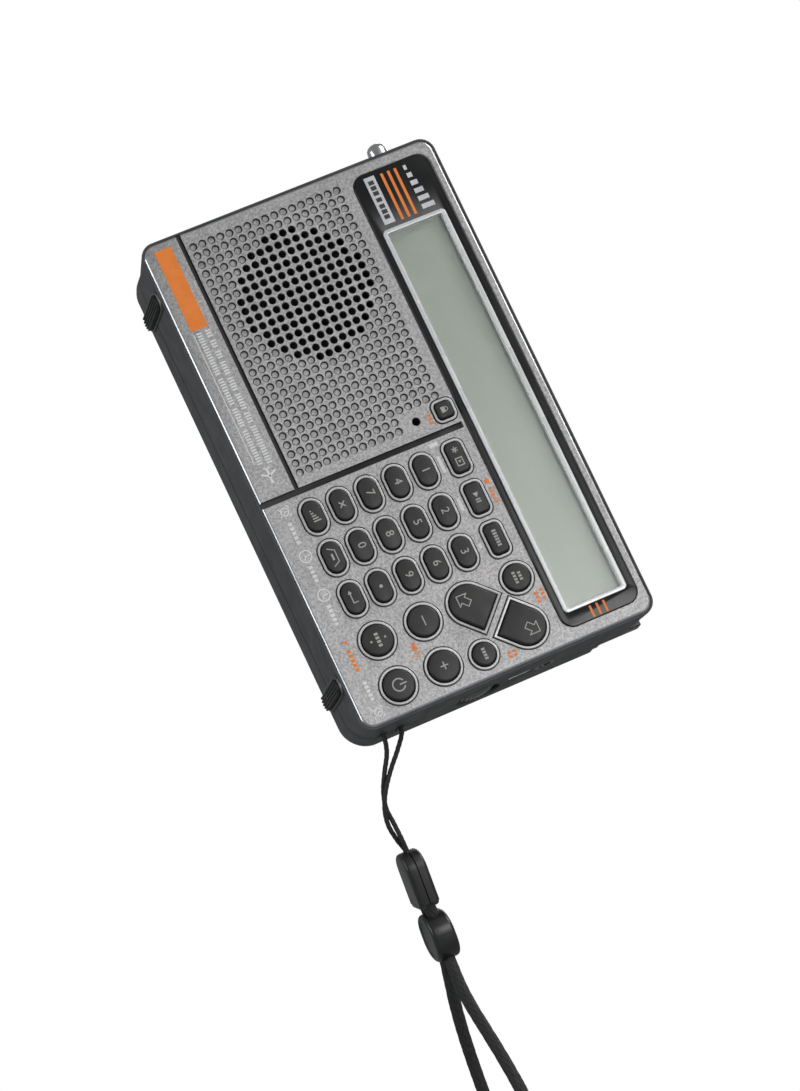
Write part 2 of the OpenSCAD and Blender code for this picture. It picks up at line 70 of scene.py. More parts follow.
MM = 0.001
PANEL_LEFT, PANEL_FACE, PANEL_LOW = -64.6, -14.4, 2.05
PANEL_MIDDLE = (67.5, 40.6)
CASE_RIGHT = 70.95
CASE_HALF = (68.05, 41.15)
CASE_MIDDLE = (PANEL_LEFT + PANEL_MIDDLE[0], PANEL_LOW + PANEL_MIDDLE[1])
PANEL_CORNER = 3.4
FRONT_CORNER, BACK_CORNER, BACK_ROUND = 3.9, 7.4, 8.0
SEAM_FROM, SEAM_TO = 14.82, 15.18
DOT_FIRST, DOT_PITCH = (4.4, 12.9), (2.56, 2.52)
SCOOP_UP, SCOOP_DEPTH = 33.6, 13.6
PORT_UP, PORT_DEPTH = 44.6, 10.8
SOCKET_UP, SOCKET_DEPTH = 52, 11.5
STAND_UP = math.pi / 2


# ---- small helpers ----


def on_panel(across, up, depth=0.0):
    """A place on the panel, from millimetres across, up and behind its face."""
    return Vector((PANEL_LEFT + across, PANEL_FACE + depth, PANEL_LOW + up)) * MM


def panel_place(point):
    """The reverse of on_panel: (across, up, depth) in millimetres."""
    return point.x / MM - PANEL_LEFT, point.z / MM - PANEL_LOW, point.y / MM - PANEL_FACE


def pick_nothing():
    bpy.ops.object.select_all(action="DESELECT")


def settle():
    """Puts the selected pieces' place into their meshes."""
    bpy.ops.object.transform_apply(location=True, rotation=True, scale=True)


def only(piece):
    pick_nothing()
    piece.select_set(True)
    bpy.context.view_layer.objects.active = piece
    return piece


def edit(piece):
    only(piece)
    bpy.ops.object.mode_set(mode="EDIT")


def edit_all(piece):
    edit(piece)
    bpy.ops.mesh.select_all(action="SELECT")


def leave_edit():
    bpy.ops.object.mode_set(mode="OBJECT")


def turn_outwards(piece):
    edit_all(piece)
    bpy.ops.mesh.normals_make_consistent(inside=False)
    leave_edit()


def pick_faces(piece, test):
    """Enters edit mode with only the faces selected that pass test(centre, normal)."""
    edit(piece)
    bpy.ops.mesh.select_mode(type="FACE")
    bpy.ops.mesh.select_all(action="DESELECT")
    leave_edit()
    for face in piece.data.polygons:
        face.select = bool(test(face.center, face.normal))
    bpy.ops.object.mode_set(mode="EDIT")


def pick_edges(piece, test, sharp=0.0):
    """Enters edit mode with only the edges selected that pass test(end, end) and turn sharply enough."""
    edit(piece)
    bpy.ops.mesh.select_mode(type="EDGE")
    bpy.ops.mesh.select_all(action="DESELECT")
    leave_edit()
    form = bmesh.new()
    form.from_mesh(piece.data)
    for edge in form.edges:
        turned_enough = len(edge.link_faces) == 2 and edge.calc_face_angle(0.0) >= math.radians(sharp)
        edge.select_set(turned_enough and bool(test(edge.verts[0].co, edge.verts[1].co)))
    form.to_mesh(piece.data)
    form.free()
    bpy.ops.object.mode_set(mode="EDIT")


def soften(piece, test, offset, segments=2, sharp=30.0, limited=True):
    """Rounds the sharp edges that pass the test."""
    pick_edges(piece, test, sharp)
    bpy.ops.mesh.bevel(offset=offset * MM, segments=segments, affect="EDGES", clamp_overlap=limited)
    leave_edit()


def bevel_all(piece, width, segments=2, angle=35.0):
    only(piece)
    rounding = piece.modifiers.new("rounding", "BEVEL")
    rounding.width = width * MM
    rounding.segments = segments
    rounding.limit_method = "ANGLE"
    rounding.angle_limit = math.radians(angle)
    rounding.use_clamp_overlap = True
    bpy.ops.object.modifier_apply(modifier="rounding")


def smooth(piece, angle=35.0):
    only(piece)
    bpy.ops.object.shade_smooth_by_angle(angle=math.radians(angle))


def finish_piece(piece, name, body, slot, *finishes, replaced=(), angle=35.0):
    """Puts the piece's place into its mesh, dresses it and attaches it to its body."""
    only(piece)
    settle()
    piece.name = piece.data.name = name
    kept = [face.material_index for face in piece.data.polygons]
    piece.data.materials.clear()
    for finish in finishes:
        piece.data.materials.append(finish)
    for face, index in zip(piece.data.polygons, kept):
        face.material_index = min(index, len(finishes) - 1)
    smooth(piece, angle)
    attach(piece, body)
    if replaced:
        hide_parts(*replaced)
    return piece


def copy_of(node):
    """A merged copy of a CAD node's mesh, with its flat triangles joined to whole faces."""
    source = frame["nodes"][node]
    piece = bpy.data.objects.new(node + "_body", source.data.copy())
    bpy.context.scene.collection.objects.link(piece)
    edit_all(piece)
    bpy.ops.mesh.remove_doubles(threshold=2e-6)
    bpy.ops.mesh.dissolve_limited(angle_limit=math.radians(0.5))
    leave_edit()
    for face in piece.data.polygons:
        face.material_index = 0
    return piece


def body_of(node):
    return frame["nodes"][node]["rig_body"]


def finished_copy(node, width, finish, slot, segments=2, angle=20.0):
    piece = copy_of(node)
    bevel_all(piece, width, segments)
    return finish_piece(piece, node + "_body", body_of(node), slot, finish, replaced=[node], angle=angle)


def join(pieces):
    pick_nothing()
    for piece in pieces:
        piece.select_set(True)
    bpy.context.view_layer.objects.active = pieces[0]
    if len(pieces) > 1:
        bpy.ops.object.join()
    return bpy.context.view_layer.objects.active


def fresh_block(low, high):
    """A new block between two corners in millimetres of the frame."""
    pick_nothing()
    low, high = Vector(low) * MM, Vector(high) * MM
    bpy.ops.mesh.primitive_cube_add(size=1, location=(low + high) / 2)
    piece = bpy.context.object
    piece.scale = high - low
    settle()
    return piece


def fresh_rod(centre, radius, length, axis="Y", sides=48):
    """A new round rod about a point in millimetres of the frame."""
    pick_nothing()
    turn = {"X": (0, STAND_UP, 0), "Y": (-STAND_UP, 0, 0), "Z": (0, 0, 0)}[axis]
    bpy.ops.mesh.primitive_cylinder_add(vertices=sides, radius=radius * MM, depth=length * MM,
                                        location=Vector(centre) * MM, rotation=turn)
    piece = bpy.context.object
    settle()
    return piece


def turned(profile, centre, axis, steps=48):
    """Spins a profile of (along, radius) pairs round an axis of the frame through a point. Millimetres."""
    along = {"X": Vector((1, 0, 0)), "Y": Vector((0, 1, 0)), "Z": Vector((0, 0, 1))}[axis]
    outward = {"X": Vector((0, 0, 1)), "Y": Vector((1, 0, 0)), "Z": Vector((1, 0, 0))}[axis]
    pick_nothing()
    bpy.ops.mesh.primitive_plane_add(size=1)
    piece = bpy.context.object
    edit_all(piece)
    bpy.ops.mesh.delete(type="VERT")
    leave_edit()
    points = [(Vector(centre) + along * a + outward * r) * MM for a, r in profile]
    piece.data.from_pydata(points, [(i, i + 1) for i in range(len(points) - 1)], [])
    edit_all(piece)
    bpy.ops.mesh.spin(steps=steps, angle=2 * math.pi, center=Vector(centre) * MM, axis=along)
    bpy.ops.mesh.select_all(action="SELECT")
    bpy.ops.mesh.remove_doubles(threshold=2e-6)
    bpy.ops.mesh.normals_make_consistent(inside=False)
    leave_edit()
    return piece


def cut_out(piece, cutter, operation="DIFFERENCE"):
    """Takes the cutter's shape out of the piece, or keeps only what they share."""
    only(piece)
    cutting = piece.modifiers.new("cut", "BOOLEAN")
    cutting.operation = operation
    cutting.object = cutter
    cutting.solver = "EXACT"
    bpy.ops.object.modifier_apply(modifier="cut")
    bpy.data.objects.remove(cutter)
    return piece


# ---- camera, light and floor ----


def set_camera():
    """A long lens from below and to the right of the panel, rolled so that the case leans."""
    aim = Vector((30.7, -14.4, 30.2)) * MM
    distance, lens = 1.196, 216.0
    azimuth, elevation, roll = (math.radians(a) for a in (10.575, -15.088, 67.355))
    outward = Vector((math.sin(azimuth) * math.cos(elevation),
                      -math.cos(azimuth) * math.cos(elevation), math.sin(elevation)))
    level = (-outward).cross(Vector((0, 0, 1))).normalized()
    upright = level.cross(-outward)
    right = level * math.cos(roll) + upright * math.sin(roll)
    up = upright * math.cos(roll) - level * math.sin(roll)
    lens_data = bpy.data.cameras.new("camera")
    lens_data.lens = lens
    lens_data.sensor_width = 36.0
    lens_data.sensor_fit = "HORIZONTAL"
    lens_data.clip_start = 0.01
    lens_data.clip_end = 50.0
    camera = bpy.data.objects.new("camera", lens_data)
    turn = Matrix((right, up, outward)).transposed().to_4x4()
    camera.matrix_world = Matrix.Translation(aim + outward * distance) @ turn
    bpy.context.scene.collection.objects.link(camera)
    bpy.context.scene.camera = camera


def softbox(name, place, target, size, watts, tint=(1, 1, 1)):
    light = bpy.data.lights.new(name, "AREA")
    light.shape = "RECTANGLE"
    light.size, light.size_y = size
    light.energy = watts
    light.color = tint
    lamp = bpy.data.objects.new(name, light)
    lamp.location = place
    lamp.rotation_euler = (Vector(target) - Vector(place)).to_track_quat("-Z", "Y").to_euler()
    bpy.context.scene.collection.objects.link(lamp)


def mix_shaders(nodes, links, factor, first, second, out):
    both = nodes.new("ShaderNodeMixShader")
    for source, socket in ((factor, both.inputs["Fac"]), (first, both.inputs[1]), (second, both.inputs[2])):
        links.new(source, socket)
    links.new(both.outputs["Shader"], out.inputs["Surface"])


def set_light():
    bpy.context.scene.view_settings.view_transform = "Standard"
    world = bpy.data.worlds.new("studio")
    bpy.context.scene.world = world
    world.use_nodes = True
    nodes, links = world.node_tree.nodes, world.node_tree.links
    nodes.clear()
    path = nodes.new("ShaderNodeLightPath")
    seen = nodes.new("ShaderNodeBackground")
    seen.inputs["Color"].default_value = (1, 1, 1, 1)
    lighting = nodes.new("ShaderNodeBackground")
    lighting.inputs["Color"].default_value = (0.96, 0.98, 1, 1)
    lighting.inputs["Strength"].default_value = 0.3
    mix_shaders(nodes, links, path.outputs["Is Camera Ray"], lighting.outputs["Background"],
                seen.outputs["Background"], nodes.new("ShaderNodeOutputWorld"))
    softbox("overhead_softbox", (-0.6, -0.75, 1.2), (0, 0, 0.04), (0.7, 0.7), 12.0, (1, 0.99, 0.97))
    softbox("display_card", (0.2, -1.05, 0.42), (0.03, 0, 0.04), (0.6, 0.5), 4.5)
    softbox("low_fill", (-0.2, -0.28, -0.95), (0, 0, 0.02), (0.8, 0.35), 4.0, (0.94, 0.97, 1))
    softbox("back_fill", (-0.5, 1.1, 0.9), (0, 0, 0.04), (0.9, 0.9), 9.0)


def set_floor():
    """A pale floor, seen only from above, so that the low camera looks through it."""
    pick_nothing()
    bpy.ops.mesh.primitive_plane_add(size=40, location=(0, 0, -0.00005))
    floor = bpy.context.object
    floor.name = "floor"
    finish = bpy.data.materials.new("pale_floor")
    finish.use_nodes = True
    nodes, links = finish.node_tree.nodes, finish.node_tree.links
    surface = nodes["Principled BSDF"]
    surface.inputs["Base Color"].default_value = (0.8, 0.8, 0.79, 1)
    surface.inputs["Roughness"].default_value = 0.8
    # The floor glows: painted light in its emission, faint near the object and strong far away, so the far
    # floor turns white.
    place = nodes.new("ShaderNodeTexCoord").outputs["Object"]
    distance = nodes.new("ShaderNodeVectorMath")
    distance.operation = "LENGTH"
    links.new(place, distance.inputs[0])
    painted_floor_glow = spread(nodes, links, distance.outputs["Value"], 0.3, 1.6, 0.25, 0.9)
    links.new(painted_floor_glow, surface.inputs["Emission Color"])
    surface.inputs["Emission Strength"].default_value = 1.0
    below = nodes.new("ShaderNodeNewGeometry")
    path = nodes.new("ShaderNodeLightPath")
    shown = nodes.new("ShaderNodeMath")
    shown.operation = "GREATER_THAN"
    links.new(path.outputs["Is Camera Ray"], shown.inputs[0])
    links.new(below.outputs["Backfacing"], shown.inputs[1])
    clear = nodes.new("ShaderNodeBsdfTransparent")
    mix_shaders(nodes, links, shown.outputs["Value"], clear.outputs["BSDF"], surface.outputs["BSDF"],
                nodes["Material Output"])
    floor.data.materials.append(finish)


# ---- shared effects ----


def effect(name, inputs, outputs, wire):
    """A shader node group with named sockets, wired by a function of its nodes, links and ends."""
    tree = bpy.data.node_groups.new(name, "ShaderNodeTree")
    for label, kind, value in inputs:
        socket = tree.interface.new_socket(label, in_out="INPUT", socket_type=kind)
        if value is not None:
            socket.default_value = value
    for label, kind in outputs:
        tree.interface.new_socket(label, in_out="OUTPUT", socket_type=kind)
    start, end = tree.nodes.new("NodeGroupInput"), tree.nodes.new("NodeGroupOutput")
    wire(tree.nodes, tree.links, start.outputs, end.inputs)
    return tree


def calc(nodes, links, operation, a, b):
    node = nodes.new("ShaderNodeMath")
    node.operation = operation
    for socket, value in zip(node.inputs, (a, b)):
        if isinstance(value, (int, float)):
            socket.default_value = value
        elif value is not None:
            links.new(value, socket)
    return node.outputs["Value"]


def spread(nodes, links, value, low, high, to_low=0.0, to_high=1.0):
    node = nodes.new("ShaderNodeMapRange")
    node.interpolation_type = "SMOOTHSTEP"
    links.new(value, node.inputs["Value"])
    for label, number in (("From Min", low), ("From Max", high), ("To Min", to_low), ("To Max", to_high)):
        node.inputs[label].default_value = number
    return node.outputs["Result"]


def noise(nodes, links, vector, scale, detail=3.0, rough=0.55):
    node = nodes.new("ShaderNodeTexNoise")
    links.new(vector, node.inputs["Vector"])
    if isinstance(scale, (int, float)):
        node.inputs["Scale"].default_value = scale
    else:
        links.new(scale, node.inputs["Scale"])
    node.inputs["Detail"].default_value = detail
    node.inputs["Roughness"].default_value = rough
    return node.outputs["Fac"]


def wire_grain(nodes, links, given, gives):
    """Pebbled moulding: rounded cells with finer noise between them."""
    cells = nodes.new("ShaderNodeTexVoronoi")
    links.new(given["Vector"], cells.inputs["Vector"])
    links.new(given["Scale"], cells.inputs["Scale"])
    fine = noise(nodes, links, given["Vector"], calc(nodes, links, "MULTIPLY", given["Scale"], 0.7), 4.0)
    links.new(calc(nodes, links, "ADD", calc(nodes, links, "MULTIPLY", cells.outputs["Distance"], 0.6),
                   calc(nodes, links, "MULTIPLY", fine, 0.7)), gives["Height"])
    cloud = noise(nodes, links, given["Vector"], calc(nodes, links, "MULTIPLY", given["Scale"], 0.05), 3.0)
    links.new(spread(nodes, links, calc(nodes, links, "ADD", calc(nodes, links, "MULTIPLY", cloud, 0.6),
                                        calc(nodes, links, "MULTIPLY", fine, 0.4)), 0.3, 0.7), gives["Tone"])


def wire_flakes(nodes, links, given, gives):
    """Metallic paint: fine light and dark flakes over a soft mottle."""
    cells = nodes.new("ShaderNodeTexVoronoi")
    cells.feature = "F1"
    links.new(given["Vector"], cells.inputs["Vector"])
    links.new(given["Scale"], cells.inputs["Scale"])
    flake = nodes.new("ShaderNodeSeparateColor")
    links.new(cells.outputs["Color"], flake.inputs["Color"])
    mottle = noise(nodes, links, given["Vector"], calc(nodes, links, "MULTIPLY", given["Scale"], 0.35), 3.0)
    both = calc(nodes, links, "ADD", calc(nodes, links, "MULTIPLY", flake.outputs["Red"], 0.4),
                calc(nodes, links, "MULTIPLY", spread(nodes, links, mottle, 0.3, 0.7), 0.6))
    links.new(both, gives["Tone"])
    links.new(calc(nodes, links, "ADD", calc(nodes, links, "MULTIPLY", flake.outputs["Green"], 0.35),
                   mottle), gives["Height"])


def wire_handling(nodes, links, given, gives):
    """Faint wipes and finger marks that change how sharply a surface shines."""
    stretch = nodes.new("ShaderNodeVectorMath")
    stretch.operation = "MULTIPLY"
    stretch.inputs[1].default_value = (1.0, 1.0, 5.0)
    links.new(given["Vector"], stretch.inputs[0])
    wipes = noise(nodes, links, stretch.outputs["Vector"], 60.0, 4.0, 0.6)
    prints = noise(nodes, links, given["Vector"], 90.0, 2.0, 0.5)
    mask = calc(nodes, links, "ADD", calc(nodes, links, "MULTIPLY", spread(nodes, links, wipes, 0.4, 0.7),
                                          0.5),
                calc(nodes, links, "MULTIPLY", spread(nodes, links, prints, 0.45, 0.65), 0.5))
    links.new(calc(nodes, links, "MULTIPLY", mask, given["Amount"]), gives["Mask"])


def wire_strands(nodes, links, given, gives):
    """Threads that run along both diagonals of a cord's own UV map."""
    parts = nodes.new("ShaderNodeSeparateXYZ")
    links.new(given["Vector"], parts.inputs["Vector"])
    around, along = parts.outputs["X"], parts.outputs["Y"]
    fine = calc(nodes, links, "ADD", calc(nodes, links, "MULTIPLY", around, 60.0),
                calc(nodes, links, "MULTIPLY", along, 25.0))
    thread = calc(nodes, links, "SINE", fine, None)
    fuzz = noise(nodes, links, given["Vector"], 40.0, 3.0, 0.6)
    links.new(spread(nodes, links, calc(nodes, links, "ADD", calc(nodes, links, "MULTIPLY", thread, 0.25),
                                        fuzz), 0.2, 0.9), gives["Tone"])
    links.new(thread, gives["Height"])


VECTOR, FLOAT = "NodeSocketVector", "NodeSocketFloat"
GRAIN = effect("moulded_grain", [("Vector", VECTOR, None), ("Scale", FLOAT, 3000.0)],
               [("Height", FLOAT), ("Tone", FLOAT)], wire_grain)
FLAKES = effect("paint_flakes", [("Vector", VECTOR, None), ("Scale", FLOAT, 3000.0)],
                [("Height", FLOAT), ("Tone", FLOAT)], wire_flakes)
HANDLING = effect("handling_marks", [("Vector", VECTOR, None), ("Amount", FLOAT, 1.0)], [("Mask", FLOAT)],
                  wire_handling)
STRANDS = effect("cord_strands", [("Vector", VECTOR, None)], [("Height", FLOAT), ("Tone", FLOAT)],
                 wire_strands)


def make_finish(name, low, high, rough, texture=GRAIN, scale=3000.0, bump=0.1, bump_height=0.05,
                metallic=0.0, rough_spread=0.08, specular=0.5, coords="Object", through=0.0):
    """A finish whose colour runs from low to high with its texture, worn smoother or duller by handling."""
    finish = bpy.data.materials.new(name)
    finish.use_nodes = True
    nodes, links = finish.node_tree.nodes, finish.node_tree.links
    surface = nodes["Principled BSDF"]
    place = nodes.new("ShaderNodeTexCoord").outputs[coords]
    pattern = nodes.new("ShaderNodeGroup")
    pattern.node_tree = texture
    links.new(place, pattern.inputs["Vector"])
    if "Scale" in pattern.inputs:
        pattern.inputs["Scale"].default_value = scale
    tint = nodes.new("ShaderNodeMix")
    tint.data_type = "RGBA"
    links.new(pattern.outputs["Tone"], tint.inputs["Factor"])
    tint.inputs[6].default_value = (*low, 1)
    tint.inputs[7].default_value = (*high, 1)
    links.new(tint.outputs[2], surface.inputs["Base Color"])
    marks = nodes.new("ShaderNodeGroup")
    marks.node_tree = HANDLING
    marks.inputs["Amount"].default_value = 1.0
    links.new(place, marks.inputs["Vector"])
    dull = spread(nodes, links, marks.outputs["Mask"], 0.0, 1.0, rough - rough_spread, rough + rough_spread)
    links.new(dull, surface.inputs["Roughness"])
    if bump:
        relief = nodes.new("ShaderNodeBump")
        relief.inputs["Strength"].default_value = bump
        relief.inputs["Distance"].default_value = bump_height * MM
        links.new(pattern.outputs["Height"], relief.inputs["Height"])
        links.new(relief.outputs["Normal"], surface.inputs["Normal"])
    surface.inputs["Metallic"].default_value = metallic
    surface.inputs["Specular IOR Level"].default_value = specular
    surface.inputs["Transmission Weight"].default_value = through
    return finish


def grey(value, cool=0.0):
    return (value * (1 - cool), value, value * (1 + cool))


CASE = make_finish("graphite_case", grey(0.055, 0.01), grey(0.08, 0.01), 0.6, scale=5000, bump=0.25,
                   specular=0.12)
# A lighter, glossier copy of the case plastic for the foot surrounds: painted highlight.
CASE_HIGHLIGHT_COPY = make_finish("graphite_painted_highlight", grey(0.1), grey(0.14), 0.36, scale=5000, bump=0.1)
PAINT = make_finish("silver_paint", (0.195, 0.19, 0.19), (0.47, 0.46, 0.46), 0.42, FLAKES, 4400, 0.3, 0.06,
                    metallic=0.4)
# A lighter, more metallic copy of the silver paint for the panel's outline chamfer: its bright line is
# painted highlight, and the low fill lamp lights it too.
PAINT_EDGE_HIGHLIGHT = make_finish("panel_edge_painted_highlight", grey(0.36, 0.04), grey(0.44, 0.04), 0.3, FLAKES, 3000, 0.05,
                         metallic=0.7)
COLLAR = make_finish("key_collar_paint", grey(0.4), grey(0.5), 0.36, FLAKES, 4000, 0.1, 0.04, metallic=0.3)
# Near-black: the grooves' own black paint and the bezel's dark print, and painted shade as the seam inlay.
GROOVE = make_finish("groove_black_and_seam_shade", grey(0.008, 0.05), grey(0.016, 0.05), 0.5, scale=4000)
# Near-black on the dimples' walls and the rims of their floors: painted shade in the recesses.
DOT_WALL_SHADE = make_finish("dot_wall_painted_shade", grey(0.03), grey(0.05), 0.65, scale=4000, specular=0.2)
# Dark grey in the ring grooves round the keys: painted shade.
RING_GROOVE_SHADE = make_finish("ring_groove_painted_shade", grey(0.06), grey(0.1), 0.5, scale=4000)
GLOSS = make_finish("bezel_gloss_black", grey(0.004, 0.05), grey(0.007, 0.05), 0.24, scale=500, bump=0.02,
                    bump_height=0.02, rough_spread=0.03, specular=0.4)
TRIM = make_finish("bright_frame", grey(0.55, 0.01), grey(0.64, 0.01), 0.3, FLAKES, 5000, 0.05, metallic=0.25)
DISPLAY = make_finish("display_glass", (0.118, 0.138, 0.104), (0.124, 0.144, 0.11), 0.36, scale=120, bump=0,
                      rough_spread=0.01, specular=0.9)
KEY = make_finish("key_charcoal", grey(0.016), grey(0.026), 0.5, scale=4500, bump=0.18, specular=0.35)
LEGEND = make_finish("legend_print", (0.3, 0.285, 0.26), (0.36, 0.345, 0.32), 0.55, scale=4000, bump=0.05)
PALE_PRINT = make_finish("pale_print", grey(0.55, 0.02), grey(0.66, 0.02), 0.5, scale=4000, bump=0.05)
SILVER_PRINT = make_finish("silver_print", grey(0.5, 0.03), grey(0.6, 0.03), 0.35, scale=4000, bump=0.05,
                           metallic=0.3)
ORANGE_PRINT = make_finish("orange_print", (0.66, 0.17, 0.022), (0.74, 0.21, 0.034), 0.5, scale=4000,
                           bump=0.05, specular=0.3)
RUBBER = make_finish("foot_rubber", grey(0.008), grey(0.015), 0.6, scale=6000, bump=0.3)
BLACK = make_finish("black_moulding", grey(0.01), grey(0.017), 0.42, scale=5000, bump=0.15)
STRAP = make_finish("strap_moulding", grey(0.009), grey(0.014), 0.4, scale=4500, bump=0.15)
CORD = make_finish("strap_cord", grey(0.005), grey(0.016), 0.75, STRANDS, bump=0.5, bump_height=0.08,
                   coords="UV")
WHEEL = make_finish("dial_plastic", grey(0.1), grey(0.14), 0.42, scale=5000, bump=0.15)
STEEL = make_finish("plated_steel", grey(0.5), grey(0.62), 0.3, scale=2500, bump=0.08, metallic=1.0)
SCREW = make_finish("black_zinc_screw", grey(0.16), grey(0.24), 0.32, scale=4000, bump=0.1, metallic=1.0)
CHROME = make_finish("aerial_chrome", grey(0.66, 0.01), grey(0.72, 0.01), 0.12, scale=900, bump=0.02,
                     metallic=1.0,
                     rough_spread=0.05)
BOARD = make_finish("green_solder_mask", (0.012, 0.09, 0.035), (0.02, 0.14, 0.055), 0.35, scale=1500)
MAT = make_finish("keypad_silicone", grey(0.03), grey(0.045), 0.6, scale=3000)
PAPER = make_finish("speaker_paper", grey(0.006), grey(0.014), 0.8, scale=2500, bump=0.4)
PRESSED = make_finish("pressed_speaker_steel", grey(0.25), grey(0.33), 0.4, scale=2000, metallic=1.0)
FERRITE = make_finish("ferrite_grey", grey(0.03), grey(0.05), 0.7, scale=3000, bump=0.3)
COPPER = make_finish("enamelled_copper", (0.5, 0.2, 0.06), (0.62, 0.28, 0.1), 0.3, scale=3000, metallic=1.0)
BATTERY = make_finish("battery_wrap", (0.02, 0.07, 0.24), (0.03, 0.09, 0.3), 0.3, scale=1500)
GOLD = make_finish("gold_contact", (0.7, 0.5, 0.18), (0.8, 0.6, 0.25), 0.25, scale=3000, metallic=1.0)


# ---- cords ----

STRING_ROUTE = [
    (-4.35, -3, 8.4), (-1.5, -3, 8.4), (1.5, -3, 8.3), (5, -2.8, 7.2), (9, -2.2, 4.8),
    (13, -1.1, 2.8), (17, 0.1, 1.9), (21, 0.8, 2.2), (25, 1.6, 2.5), (28.7, 2.8, 2.75),
    (32.7, 3.2, 2.75), (36.3, 3.6, 2.75), (37.8, 4.9, 2.75), (37.9, 6.9, 2.75), (36.5, 8.3, 2.75),
    (34.4, 8.2, 2.75), (31.5, 6.4, 2.75), (28.1, 4.2, 2.75), (25, 3, 1.7), (21, 0.9, 0.75),
    (17, -1.3, 1.2), (13, -2.8, 3.2), (9, -3.1, 6.4), (5, -3.1, 10.2), (1.5, -3, 13),
    (-1.5, -3, 13.4), (-4.35, -3, 13.4),
]
LOOP_ROUTE = [
    (39.5, 9.3, 2.8), (44.5, 11.1, 3), (49.5, 13, 3.1), (54.5, 14.8, 3), (60, 17.4, 2.4),
    (66, 21, 1.8), (73, 25.6, 1.6), (81, 30, 1.6), (90, 33.6, 1.6), (99, 35.6, 1.6),
    (108, 35.4, 1.6), (116, 32.6, 1.6), (122.5, 27.6, 1.6), (126.4, 20.8, 1.6), (127.2, 13, 1.6),
    (124.8, 5.6, 1.6), (119.6, 0, 1.6), (112, -3.4, 1.6), (103, -4.4, 1.6), (94, -3.4, 1.6),
    (85, -0.6, 1.6), (77, 3, 1.6), (70, 6.6, 1.7), (64, 9.4, 2.1), (59.5, 11.2, 2.7),
    (55.7, 11.5, 3), (50.7, 9.8, 3.1), (45.7, 7.9, 3), (40.7, 6.1, 2.8),
]
STRING_D, LOOP_D = 1.25, 3.2
CLIP_AT, CLIP_SIZE = (35.4, 6, 2.75), (14.8, 9, 5.5)
SLIDER_AT, SLIDER_SIZE = (50, 11.3, 3.1), (12.7, 11.3, 6.2)
STRAP_ANGLE = math.radians(20)


def smooth_route(points, step):
    """Points about a step apart on a smooth curve through the given ones, in metres."""
    knots = [Vector((CASE_RIGHT + x, y, z)) * MM for x, y, z in points]
    knots = [knots[0] * 2 - knots[1]] + knots + [knots[-1] * 2 - knots[-2]]
    line = []
    for a, b, c, d in zip(knots, knots[1:], knots[2:], knots[3:]):
        count = max(2, round((c - b).length / (step * MM)))
        for i in range(count):
            t = i / count
            line.append(0.5 * (2 * b + (c - a) * t + (2 * a - 5 * b + 4 * c - d) * t ** 2
                               + (3 * b - a - 3 * c + d) * t ** 3))
    return line + [knots[-2]]


def braided_cord(name, points, diameter, sides, step, strands, pitch, relief):
    """A round cord along a route, with two sets of strands that cross over and under each other."""
    line = smooth_route(points, step)
    rings, faces, marks = [], [], []
    travelled, across = 0.0, None
    for i, place in enumerate(line):
        ahead = (line[min(i + 1, len(line) - 1)] - line[max(i - 1, 0)]).normalized()
        if i:
            travelled += (place - line[i - 1]).length / MM
        if across is None:
            across = ahead.cross(Vector((0, 0, 1)))
        across = (across - ahead * across.dot(ahead)).normalized()
        other = ahead.cross(across)
        for k in range(sides):
            angle = 2 * math.pi * k / sides
            turn = 2 * math.pi * travelled / pitch
            one, two = math.cos(strands * angle + turn), math.cos(strands * angle - turn)
            over = max(one, two)
            radius = diameter / 2 * MM * (1 - relief * (1 - over) / 2)
            rings.append(place + (across * math.cos(angle) + other * math.sin(angle)) * radius)
            marks.append((k / sides, travelled / (math.pi * diameter)))
    count = len(line)
    for i in range(count - 1):
        for k in range(sides):
            m = (k + 1) % sides
            faces.append((sides * i + k, sides * (i + 1) + k, sides * (i + 1) + m, sides * i + m))
    faces.append(tuple(range(sides)))
    faces.append(tuple(sides * (count - 1) + k for k in reversed(range(sides))))
    mesh = bpy.data.meshes.new(name)
    mesh.from_pydata(rings, [], faces)
    layer = mesh.uv_layers.new(name="along_the_cord")
    for face in mesh.polygons:
        corners = [mesh.loops[i].vertex_index % sides for i in face.loop_indices]
        wraps = len(corners) == 4 and sides - 1 in corners
        for i in face.loop_indices:
            u, v = marks[mesh.loops[i].vertex_index]
            layer.data[i].uv = (1.0 if wraps and u == 0.0 else u, v)
    piece = bpy.data.objects.new(name, mesh)
    bpy.context.scene.collection.objects.link(piece)
    turn_outwards(piece)
    return piece, line


def place_on_strap(piece, at):
    """Lays a piece made about the origin along the strap, in millimetres from the case's side."""
    only(piece)
    piece.rotation_euler = (0, 0, STRAP_ANGLE)
    piece.location = Vector((CASE_RIGHT + at[0], at[1], at[2])) * MM
    settle()
    return piece


